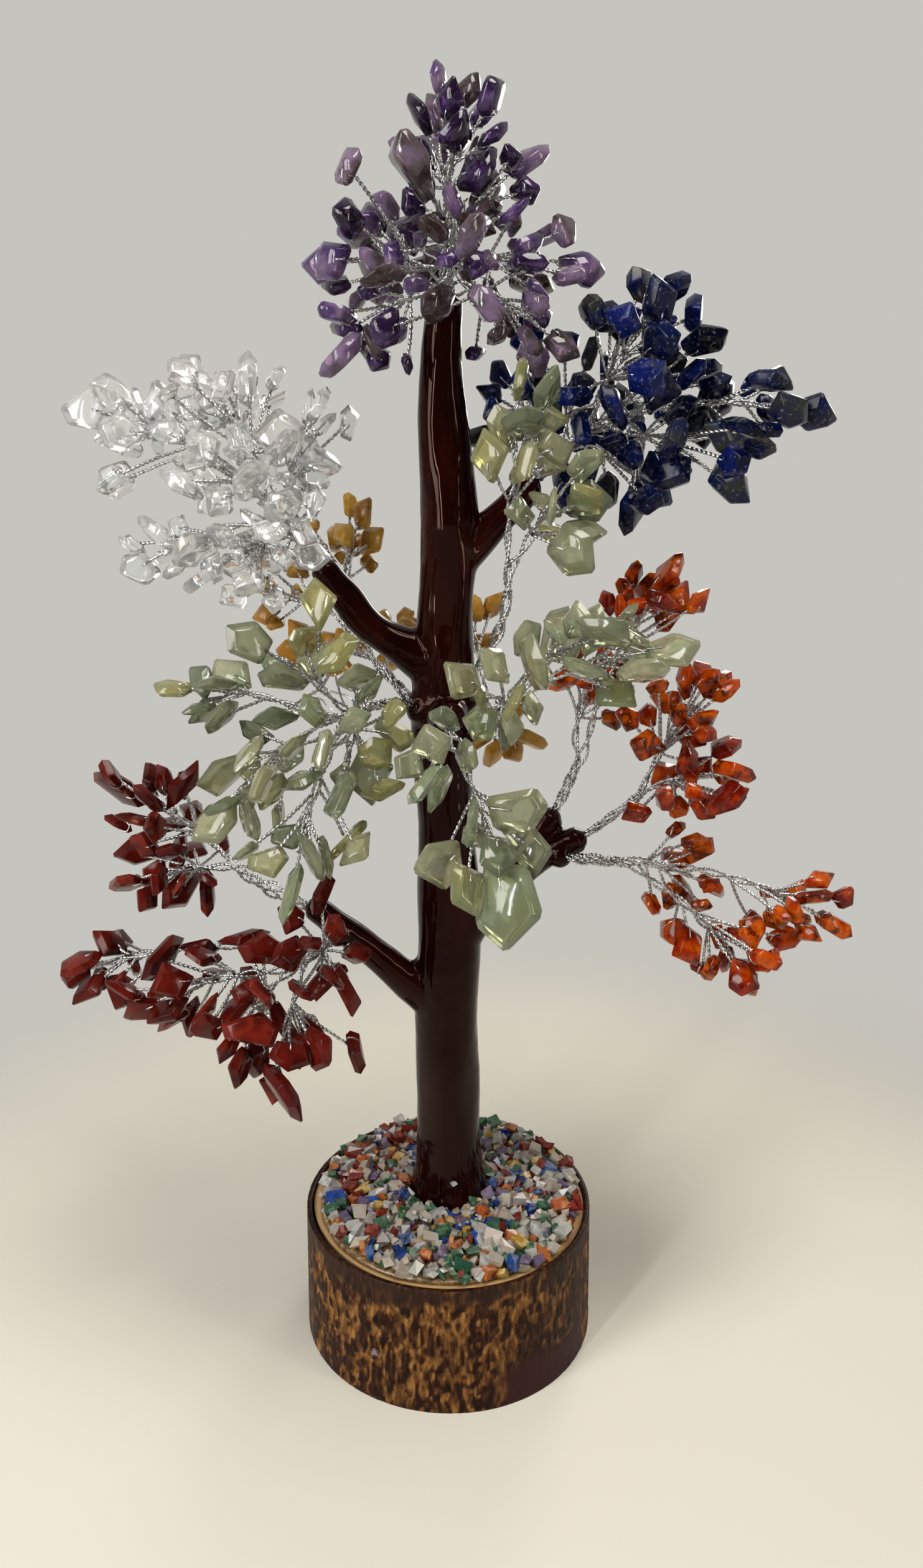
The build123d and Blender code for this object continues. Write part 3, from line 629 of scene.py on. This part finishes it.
trunkLook = {
    "voxel": 0.62,          # mm
    "softenings": 6,
    "lip": 3.0,             # radius of the ball of putty round each rope, mm
    "clear": (2, 7),        # mm from a mouth over which the lumps come up
    "lump": 0.75,           # height of the lumps in the putty, mm
    "lumpCell": (7, 7, 18),
    "ripple": 0.05,
    "rippleCell": 2.5,
    "collar": 1.3,          # how far the roll of putty round the front stands out, mm
    "collarHeight": 172.0,
    "collarHalf": 2.0,
    "collarWave": (1.6, 0.35, 0.6),     # it dips by a sine across: height in mm, rate and start
    "collarFront": (2.0, -3.0),         # mm from back to front over which it comes up
    "collarReach": (11, 8),             # mm from the trunk's middle at which it ends
}
whole = bmesh.new()
whole.from_mesh(frame["nodes"]["trunk"].data)
bmesh.ops.remove_doubles(whole, verts=whole.verts, dist=grain)
mouths = np.array([j["pos_m"] for j in frame["joints"]])
for mouth in mouths:  # putty is pressed close round each rope
    bmesh.ops.create_icosphere(whole, subdivisions=3, radius=trunkLook["lip"] * mm,
                               matrix=Matrix.Translation(mouth))
trunkMesh = bpy.data.meshes.new("trunkWork")
whole.to_mesh(trunkMesh)
whole.free()
work = addObject("trunkWork", trunkMesh)
remesh = work.modifiers.new("remesh", "REMESH")
remesh.mode = "VOXEL"
remesh.voxel_size = trunkLook["voxel"] * mm
soften = work.modifiers.new("soften", "SMOOTH")
soften.iterations = trunkLook["softenings"]
putty = bpy.data.meshes.new_from_object(work.evaluated_get(bpy.context.evaluated_depsgraph_get()))
bpy.data.objects.remove(work)
points = readVectors(putty.vertices, "co").astype(float)
normals = readVectors(putty.vertex_normals, "vector")
# lacquered putty is lumpy: each point goes out along its normal by tall lumps, small ripples and, round the
# front, a roll of putty that falls off as a bell curve above and below
near, free = trunkLook["clear"]
clear = smoothStep(near * mm, free * mm, np.linalg.norm(points[:, None] - mouths, axis=2).min(1))
height = trunkLook["lump"] * clear * lumps(points, trunkLook["lumpCell"], seed=1)
height += trunkLook["ripple"] * clear * lumps(points, trunkLook["rippleCell"], seed=2)
x, y, z = points.T / mm
wave, rate, start = trunkLook["collarWave"]
level = trunkLook["collarHeight"] + wave * np.sin(x * rate + start)
roll = np.exp(-((z - level) / trunkLook["collarHalf"]) ** 2) * smoothStep(*trunkLook["collarFront"], y)
roll *= smoothStep(*trunkLook["collarReach"], np.hypot(x, y))
height += trunkLook["collar"] * roll
points += normals * (height * mm)[:, None]
putty.vertices.foreach_set("co", points.astype(np.float32).ravel())
putty.update()
lacqueredPutty, tree, shader, coords = newMaterial(  # glossy lacquer over dark putty: mirror-like streaks
    "lacqueredPutty", Roughness=0.05, Specular_IOR_Level=0.21, Specular_Tint=linear("#e0bcb0"))
streak = addNode(tree, "Mapping", {"Scale": (1, 1, 0.25)}, {"Vector": coords})
mottle(tree, shader, streak.outputs["Vector"], 9, 4.0,
       [(0.30, "#0f0101"), (0.55, "#1a0402"), (0.75, "#2c0a05")])
finishPiece("trunk_putty", putty, lacqueredPutty, "stand", nodes=["trunk"], slot="putty")
print("trunk", len(points), "points")

barkLook = {
    "round": 480,           # points round the log, and up it
    "tall": 70,
    "edgeBand": 0.1,        # CAD points this near the top or the floor are on its edges, mm
    "relief": 0.35,         # mm, between outer bark and what has flaked
    "web": (3.6, 3.6, 7.5),     # cells of each noise, mm
    "flake": (1.3, 1.3, 2.6),
    "region": (10, 10, 18),
    "speck": (1.0, 1.0, 2.2),
    "line": (1.2, 1.2, 5),
    "lineDepth": 0.10,      # mm
    "ragged": 0.5,          # how much of the flake noise is in the web
    "webWide": (0.26, 0.12),    # noise from the web's edge to its full depth; next the same for specks
    "specks": (0.25, 0.5),
    "speckDepth": 0.7,      # of the web's
    "bare": (-0.45, 0.35),  # noise from whole bark to flaked
    "facing": (0.45, -105),     # how much more flakes in front, and the middle of that, degrees
    "patchAt": -48,         # a smooth patch by the foot: degrees, half width in degrees, top in mm
    "patchWide": (30, 12),
    "patchTop": (14, 8),
    "rim": (29.5, 34),      # from here up it darkens, mm
    "wander": 2.5,          # of the patch's and the rim's edge, and the cells of that, mm
    "patchCell": 6,
    "rimCell": 5,
    "kept": (0.9, 0.6),     # how much less the patch and the rim flake
    "footRun": (0, 2),      # no relief at the foot and under the lip, mm
    "topRun": (35.5, 34),
    "lipIn": 0.25,          # the lip's round, mm: in from each side, up over it, and down inside
    "lipUp": (0.05, 0.10),
    "lipDown": 0.3,
    "fray": 0.55,           # how far fine noise frays the flakes' edges in the colour
    "rimDarkening": 0.5,            # how dark the rim is
}
ring = np.concatenate([points for points, _ in cadSolids("bark_ring")])
far = np.hypot(ring[:, 0], ring[:, 1])
turn = np.arctan2(ring[:, 1], ring[:, 0])
top, floor = ring[:, 2].max(), ring[:, 2].min()
band = barkLook["edgeBand"] * mm
atTop, atFloor = ring[:, 2] > top - band, ring[:, 2] < floor + band
split = (far.min() + far[atTop].max()) / 2


def outlineAt(angles, chosen):  # radius of the CAD bark's edge at each angle
    return np.interp(angles, turn[chosen], far[chosen], period=2 * np.pi)


def roundLog(radius, height):  # points round the log, a row of them at each angle
    return np.stack([radius * np.cos(angles)[:, None], radius * np.sin(angles)[:, None], height], -1)


# bark: round the log by height, each radius between the CAD bark's two edges, less the
# depth of what has flaked away; the section goes up outside, over the lip and down inside
angles = np.linspace(-np.pi, np.pi, barkLook["round"], endpoint=False)
foot = outlineAt(angles, atFloor & (far > split))
edge = outlineAt(angles, atTop & (far > split))
inner = outlineAt(angles, atTop & (far < split))
rise = np.linspace(0, 1, barkLook["tall"])
radius = foot[:, None] * (1 - rise) + edge[:, None] * rise
height = np.repeat((floor + (top - floor) * rise)[None], len(angles), 0)
skin = roundLog(radius, height).reshape(-1, 3)
degrees = np.degrees(np.repeat(angles, barkLook["tall"]))
up = skin[:, 2] / mm
wander = barkLook["wander"]
smoothPatch = smoothStep(*barkLook["patchWide"], np.abs(degrees - barkLook["patchAt"]))
smoothPatch *= smoothStep(*barkLook["patchTop"], up + wander * lumps(skin, barkLook["patchCell"], seed=7))
darkRim = smoothStep(*barkLook["rim"], up + wander * lumps(skin, barkLook["rimCell"], seed=8))
# flaked places: a web where coarse noise crosses nought, ragged by finer noise, thickest in front and a
# little to the left, with specks beside it
web = lumps(skin, barkLook["web"], seed=5) + barkLook["ragged"] * lumps(skin, barkLook["flake"], seed=6)
more, middle = barkLook["facing"]
facing = more * np.cos(np.radians(degrees - middle))
patchKept, rimKept = barkLook["kept"]
bare = lumps(skin, barkLook["region"], seed=12) + facing - patchKept * smoothPatch - rimKept * darkRim
specks = barkLook["speckDepth"] * smoothStep(*barkLook["specks"], lumps(skin, barkLook["speck"], seed=13))
webbed = smoothStep(*barkLook["webWide"], np.abs(web))
flaked = smoothStep(*barkLook["bare"], bare) * np.maximum(webbed, specks)
depth = barkLook["relief"] * flaked * smoothStep(*barkLook["footRun"], up)
depth *= smoothStep(*barkLook["topRun"], up)
lines = barkLook["lineDepth"] * np.abs(lumps(skin, barkLook["line"], seed=9))
radius = radius - (depth + lines).reshape(radius.shape) * mm
lipIn = barkLook["lipIn"] * mm
lip = np.stack([edge - lipIn, (edge + inner) / 2, inner + lipIn, inner, inner, inner], 1)
lipUp = [top + rise * mm for rise in barkLook["lipUp"]]
lipHeight = np.array([*lipUp, top, top - barkLook["lipDown"] * mm, top / 2, floor])
radius = np.concatenate([radius, lip], 1)
height = np.concatenate([height, np.repeat(lipHeight[None], len(angles), 0)], 1)
points = roundLog(radius, height)
around, along = radius.shape
quads = gridFaces(around, along)
pad = np.zeros((around, along - barkLook["tall"]))
spread = {key: np.concatenate([value.reshape(around, -1), pad], 1).ravel()
          for key, value in {"flaked": flaked, "smoothPatch": smoothPatch, "darkRim": darkRim}.items()}
lacqueredBark, tree, shader, coords = newMaterial(  # thin bark under satin lacquer: dull brown, tan in flakes
    "lacqueredBark", Roughness=0.5, Specular_IOR_Level=0.06, Coat_Weight=0.08, Coat_Roughness=0.2)
fields = {key: addNode(tree, "Attribute", attribute_name=key).outputs["Fac"] for key in spread}
stretch = addNode(tree, "Mapping", {"Scale": (1, 1, 0.35)}, {"Vector": coords})
fine = addNode(tree, "TexNoise", {"Scale": 1 / (1.1 * mm), "Detail": 5.0},
               {"Vector": stretch.outputs["Vector"]})
dark = addNode(tree, "ValToRGB", links={"Fac": fine.outputs["Fac"]},
               stops=[(0.35, "#170803"), (0.5, "#281107"), (0.68, "#3d1f0e")])
tan = addNode(tree, "ValToRGB", links={"Fac": fine.outputs["Fac"]},
              stops=[(0.32, "#4c2a13"), (0.5, "#744c25"), (0.66, "#9a6f3c")])
fray = addNode(tree, "Math", {1: barkLook["fray"], 2: -barkLook["fray"] / 2}, {0: fine.outputs["Fac"]},
               operation="MULTIPLY_ADD")
worn = addNode(tree, "Math", links={0: fields["flaked"], 1: fray.outputs[0]}, operation="ADD", use_clamp=True)
mixed = addNode(tree, "MixRGB", links={"Fac": worn.outputs[0], "Color1": dark.outputs["Color"],
                                       "Color2": tan.outputs["Color"]})
plum = addNode(tree, "MixRGB", {"Color2": linear("#35191a")},
               {"Fac": fields["smoothPatch"], "Color1": mixed.outputs["Color"]})
# the bark's colour is mixed towards a darker grey-brown over its top few mm, more towards the top edge
rimDarkening = addNode(tree, "Math", {1: barkLook["rimDarkening"]}, {0: fields["darkRim"]}, operation="MULTIPLY")
darkerAtRim = addNode(tree, "MixRGB", {"Color2": linear("#33231a")},
                {"Fac": rimDarkening.outputs[0], "Color1": plum.outputs["Color"]})
tree.links.new(darkerAtRim.outputs["Color"], shader.inputs["Base Color"])
bump = addNode(tree, "Bump", {"Strength": 0.4, "Distance": 0.2 * mm}, {"Height": fine.outputs["Fac"]})
tree.links.new(bump.outputs["Normal"], shader.inputs["Normal"])
putPiece("bark_skin", points.reshape(-1, 3), quads, lacqueredBark, "stand", nodes=["bark_ring"], slot="bark",
         fields=spread)
print("bark", len(quads), "faces")

endGrain, tree, shader, coords = newMaterial(  # sawn end grain, glue-smeared: pale tan with faint year rings
    "endGrain", Roughness=0.5, Coat_Weight=0.2)
years = addNode(tree, "TexWave", {"Scale": 1 / (9 * mm), "Distortion": 1.5, "Detail": 3.0},
                {"Vector": coords}, wave_type="RINGS", rings_direction="Z")
wood = addNode(tree, "ValToRGB", links={"Fac": years.outputs["Fac"]},
               stops=[(0.2, "#8a6238"), (0.6, "#b08a58"), (0.9, "#c2a06e")])
tree.links.new(wood.outputs["Color"], shader.inputs["Base Color"])
bareSteel, tree, shader, coords = newMaterial(  # drawn rod, hidden in the putty: plain dull grey
    "bareSteel", Metallic=1.0, Roughness=0.4)
mottle(tree, shader, coords, 2, 2.0, [(0.3, "#77787a"), (0.7, "#8e8f91")])
for node, material in (("base_wood", endGrain), ("trunk_core", bareSteel)):
    frame["nodes"][node].data.materials.clear()
    frame["nodes"][node].data.materials.append(material)

bedLook = {
    "round": 120,
    "rings": 26,
    "hole": 11.2,           # radius at the trunk's foot, mm
    "sunk": 0.6,            # how far the glue lies under the CAD bed's top, mm
    "heap": 2.6,            # how far the bed rises at the trunk's foot, mm
    "heapRun": 5.0,
    "rough": 0.35,
    "roughCell": 4.0,
}
bedLow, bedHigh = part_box("glue_bed")
bedRadius = bedHigh.x
bedHole = bedLook["hole"] * mm


def bedLevel(x, y):  # height of the glue: level with small lumps, heaped up towards the trunk
    far = np.hypot(x, y)
    spot = np.stack([x, y, np.zeros_like(x)], -1)
    heap = bedLook["heap"] * np.exp(-(far - bedHole) / (bedLook["heapRun"] * mm))
    rough = bedLook["rough"] * lumps(spot, bedLook["roughCell"], seed=11)
    return bedHigh.z + (heap - bedLook["sunk"] + rough) * mm


# glue bed: rings round the trunk at that height, with a straight wall down at the hole and at the edge
angles = np.linspace(0, 2 * np.pi, bedLook["round"], endpoint=False)
far = np.concatenate([[bedHole], np.linspace(bedHole, bedRadius, bedLook["rings"]), [bedRadius]])
x, y = far * np.cos(angles)[:, None], far * np.sin(angles)[:, None]
z = bedLevel(x.ravel(), y.ravel()).reshape(x.shape)
z[:, [0, -1]] = bedLow.z
points = np.stack([x, y, z], -1).reshape(-1, 3)
quads = gridFaces(*x.shape)[:, [0, 3, 2, 1]]  # turned over, as its section runs the other way
driedGlue, tree, shader, coords = newMaterial(  # clear glue dried over sawdust: tan, wet-looking
    "driedGlue", Roughness=0.30, Coat_Weight=0.5, Coat_Roughness=0.1)
mottle(tree, shader, coords, 1.4, 4.0, [(0.35, "#4a3822"), (0.55, "#7c6340"), (0.7, "#a89068")])
putPiece("glue_bed_skin", points, quads, driedGlue, "stand", nodes=["glue_bed"], slot="glue")
print("glue bed", len(quads), "faces")

gravelLook = {
    "layers": [(2.6, 0.0, 580, (2.8, 5.4), 1.0), (2.8, 1.1, 340, (2.4, 5.6), 1.0),
               (1.2, 2.0, 110, (1.0, 2.0), 0.18)],  # spacing mm, lift mm, chips, lengths mm, share of the bed
    "hole": 11.6,           # no chips nearer the middle than this, mm
    "past": 0.5,            # how far they go past the glue's edge, mm
    "crack": (2.4, 225),    # they stop short by this beside the crack, front left: mm and degrees
    "crackWide": (0.5, 1.0),    # cosine from the crack's ends to its middle
    "tries": 12,            # places tried for each chip
    "crowding": (0.75, 1.1),    # of the spacing, drawn for each place
    "seat": 0.6,            # from the glue up to a chip's middle, mm
    "boxes": 0.6,           # share of boxes; the others are lozenges
    "lozenge": 1.35,        # from its middle to a corner, where a box has 1 to a side
    "knocked": (0.72, 1.0),     # where a corner is knocked in to, and how far aside
    "aside": 0.2,
    "formLength": 2.4,      # of a box or lozenge with its corners knocked about
    "wide": (0.6, 0.9),     # of the length
    "flat": (0.45, 0.75),
    "tilt": 0.45,
    "shares": {"clear": 0.44, "green": 0.14, "red": 0.11, "orange": 0.07, "yellow": 0.09, "blue": 0.08,
               "lilac": 0.07},
}
gravelPolish = {"cloud": 1.6, "cloudy": 0.4, "spot": 0.5, "spots": 0.3, "rough": 0.18, "shine": 0.3}
gravelStones = {  # how much light goes through, and the colours, the fifth for specks too
    "clear": (0.35, ["#d1cfca", "#c3c1b8", "#cfc3b0", "#c2ac9d", "#b5b5b2", "#d7d6d3"]),
    "green": (0.10, ["#1c4331", "#2a563e", "#476e53", "#264c3a", "#62815f", "#315646"]),
    "red": (0.0, ["#6e2016", "#812e20", "#5e160e", "#904332", "#53140e", "#792b1c"]),
    "orange": (0.12, ["#a6511f", "#b5672a", "#c38351", "#934316", "#af5c2d", "#ca976e"]),
    "yellow": (0.10, ["#b58b34", "#c3a053", "#cbb37a", "#a67c28", "#bb9748", "#d1c297"]),
    "blue": (0.0, ["#12265c", "#1c3981", "#274c97", "#162e63", "#54698c", "#1d3f7e"]),
    "lilac": (0.30, ["#625173", "#7c6a87", "#93859a", "#564367", "#8b7c89", "#705f7e"]),
}
strays = [("lilac", (-18.0, -34.2, 15.0), 3.8, 0.85),   # one on the bark and one on the trunk: colour,
          ("clear", (1.4, -9.9, 46.3), 2.2, 0.0)]       # place mm, length mm and tone
box = np.array(list(np.ndindex(2, 2, 2))) * 2.0 - 1
boxFaces = [[0, 1, 3, 2], [4, 6, 7, 5], [0, 4, 5, 1], [2, 3, 7, 6], [0, 2, 6, 4], [1, 5, 7, 3]]
lozenge = np.concatenate([np.eye(3), -np.eye(3)]) * gravelLook["lozenge"]
lozengeFaces = [[0, 1, 2], [1, 3, 2], [3, 4, 2], [4, 0, 2], [1, 0, 5], [3, 1, 5], [4, 3, 5], [0, 4, 5]]


# a gravel chip: a box or a lozenge with its corners knocked about, stretched, laid down and tilted
def gravelChip(place, length):
    form, faces = (box, boxFaces) if rng.uniform() < gravelLook["boxes"] else (lozenge, lozengeFaces)
    aside = gravelLook["aside"]
    knocked = form * rng.uniform(*gravelLook["knocked"], (len(form), 1))
    knocked += rng.uniform(-aside, aside, form.shape)
    squash = np.array((1, rng.uniform(*gravelLook["wide"]), rng.uniform(*gravelLook["flat"])))
    size = length / gravelLook["formLength"] * squash
    turn = np.linalg.qr(rng.normal(size=(3, 3)) * gravelLook["tilt"] + np.eye(3))[0]
    turn *= np.sign(np.linalg.det(turn))
    spin = rng.uniform(0, 2 * np.pi)
    flat = np.array(((np.cos(spin), -np.sin(spin), 0), (np.sin(spin), np.cos(spin), 0), (0, 0, 1)))
    return (knocked * size) @ turn.T @ flat.T + place, faces


heaps = {colour: Heap() for colour in gravelLook["shares"]}
colours = list(gravelLook["shares"])
shares = np.array(list(gravelLook["shares"].values()))
bare, crack = gravelLook["crack"]
for spacing, lift, count, lengths, share in gravelLook["layers"]:
    spots = np.empty((0, 2))
    for _ in range(count * gravelLook["tries"]):
        angle = rng.uniform(0, 2 * np.pi)
        less = bare * smoothStep(*gravelLook["crackWide"], np.cos(angle - np.radians(crack)))
        edge = bedRadius + (gravelLook["past"] - less) * mm
        inside, outside = (gravelLook["hole"] * mm) ** 2, edge ** 2
        away = np.sqrt(rng.uniform(inside, inside + (outside - inside) * share))
        spot = away * np.array((np.cos(angle), np.sin(angle)))
        if len(spots) >= count:
            break
        nearest = np.linalg.norm(spots - spot, axis=1).min(initial=np.inf)
        if len(spots) and nearest < spacing * mm * rng.uniform(*gravelLook["crowding"]):
            continue
        spots = np.concatenate([spots, spot[None]])
        length = rng.uniform(*lengths) * mm
        level = bedLevel(spot[:1], spot[1:])[0] + (lift + gravelLook["seat"]) * mm
        colour = rng.choice(colours, p=shares / shares.sum())
        heaps[colour].add(*gravelChip(np.array((*spot, level)), length), rng.uniform())
    print("gravel layer", len(spots))
for colour, place, length, tone in strays:
    heaps[colour].add(*gravelChip(np.array(place) * mm, length * mm), tone)
for colour, heap in heaps.items():
    through, tints = gravelStones[colour]
    look = {**gravelPolish, "through": through, "colours": tints, "spotColour": tints[4]}
    heap.put("gravel_" + colour + "_chips", polishedStone("gravel_" + colour, look), "stand",
             nodes=["gravel_" + colour], slot="gravel_" + colour, smooth=False)

# floor: pale cream round the tree, and from near to far it turns to the wall's colour, so no horizon shows
stageLook = {"floor": "#dedacd", "wall": "#c6c4be", "near": 140.0, "far": 300.0, "half": 6000.0}  # mm
half = stageLook["half"] * mm
mesh = bpy.data.meshes.new("floor")
mesh.from_pydata([(-half, -half, 0), (half, -half, 0), (half, half, 0), (-half, half, 0)], [], [(0, 1, 2, 3)])
paleFloor, tree, shader, coords = newMaterial("paleFloor", Roughness=0.7)  # matt paint: soft shadows
away = addNode(tree, "VectorMath", links={0: coords}, operation="LENGTH")
fade = addNode(tree, "MapRange", {"From Min": stageLook["near"] * mm, "From Max": stageLook["far"] * mm},
               {"Value": away.outputs["Value"]}, interpolation_type="SMOOTHSTEP")
pale = addNode(tree, "MixRGB", {"Color1": linear(stageLook["floor"]), "Color2": linear(stageLook["wall"])},
               {"Fac": fade.outputs["Result"]})
tree.links.new(pale.outputs["Color"], shader.inputs["Base Color"])
far = addNode(tree, "Emission", {"Color": linear(stageLook["wall"]), "Strength": 1.0})
blend = addNode(tree, "MixShader", links={"Fac": fade.outputs["Result"], 1: shader.outputs["BSDF"],
                                          2: far.outputs["Emission"]})
tree.links.new(blend.outputs["Shader"], tree.nodes["Material Output"].inputs["Surface"])
mesh.materials.append(paleFloor)
floorPiece = addObject("floor", mesh)

roomLook = {
    "colour": "#f4f1ea",
    "light": 0.17,          # on what is matt; what shines gets less by the next
    "shineLess": 0.15,
    "turn": (-0.5, 0.3),    # what shines shows a dim room in front, which turns to the pale wall behind
    "front": 0.10,          # between these parts of a way back, and how much wall it shows in front
}
world = bpy.data.worlds.new("room")
scene.world = world
world.use_nodes = True
tree = world.node_tree
path = addNode(tree, "LightPath")
seen = addNode(tree, "Math", links={0: path.outputs["Is Camera Ray"], 1: path.outputs["Is Transmission Ray"]},
               operation="MAXIMUM")
way = addNode(tree, "SeparateXYZ", links={"Vector": addNode(tree, "TexCoord").outputs["Generated"]})
dimmest, palest = roomLook["turn"]
behind = addNode(tree, "MapRange", {"From Min": dimmest, "From Max": palest, "To Min": roomLook["front"]},
                 {"Value": way.outputs["Y"]})
mirrored = addNode(tree, "Math", links={0: path.outputs["Is Glossy Ray"], 1: behind.outputs["Result"]},
                   operation="MULTIPLY")
seen = addNode(tree, "Math", links={0: seen.outputs[0], 1: mirrored.outputs[0]}, operation="MAXIMUM")
dim = addNode(tree, "Math", {1: -roomLook["shineLess"], 2: roomLook["light"]},
              {0: path.outputs["Is Glossy Ray"]}, operation="MULTIPLY_ADD")
backdrop = addNode(tree, "Background", {"Color": linear(stageLook["wall"]), "Strength": 1.0})
room = addNode(tree, "Background", {"Color": linear(roomLook["colour"])}, {"Strength": dim.outputs[0]})
shown = addNode(tree, "MixShader", links={"Fac": seen.outputs[0], 1: room.outputs[0], 2: backdrop.outputs[0]})
tree.links.new(shown.outputs["Shader"], tree.nodes["World Output"].inputs["Surface"])

lamps = {  # place, aim, width and height in mm, power in watts, colour
    "window": ((-520, -420, 480), (0, 0, 150), 200, 700, 3.8, "#fbfaf6"),
    "pane": ((-380, -560, 420), (0, 0, 150), 36, 560, 1.7, "#ffffff"),
    "ceiling": ((120, -160, 800), (0, 0, 120), 320, 260, 2.9, "#fffaf2"),
    "fill": ((560, -360, 260), (0, 0, 150), 60, 520, 0.8, "#fff3e2"),
    "rear": ((260, 640, 420), (0, 0, 150), 240, 300, 1.3, "#fffaf2"),
}
for name, (place, aim, wide, tall, power, colour) in lamps.items():
    lamp = bpy.data.lights.new(name, "AREA")
    lamp.shape = "RECTANGLE"
    lamp.size, lamp.size_y = wide * mm, tall * mm
    lamp.energy = power
    lamp.color = linear(colour)[:3]
    holder = addObject(name, lamp)
    back = unit(np.array(place, float) - np.array(aim, float))
    right = unit(np.cross((0, 0, 1), back))
    turned = np.stack([right, np.cross(back, right), back], 1)
    holder.matrix_world = Matrix([[*turned[i], place[i] * mm] for i in range(3)] + [[0, 0, 0, 1]])

view = {"place": (3.5, -264.9, 230.9), "pitch": 73.54, "lens": 25.99,  # fitted to the base and trunk
        "film": 36.0, "near": 10.0}  # mm and degrees
camera = bpy.data.cameras.new("camera")
camera.sensor_fit = "VERTICAL"
camera.sensor_height = view["film"]
camera.lens = view["lens"]
camera.clip_start = view["near"] * mm
holder = addObject("camera", camera)
holder.location = np.array(view["place"]) * mm
holder.rotation_euler = (np.radians(view["pitch"]), 0, 0)
scene.camera = holder
scene.view_settings.view_transform = "Standard"
print("floor, room,", len(lamps), "lamps and camera")
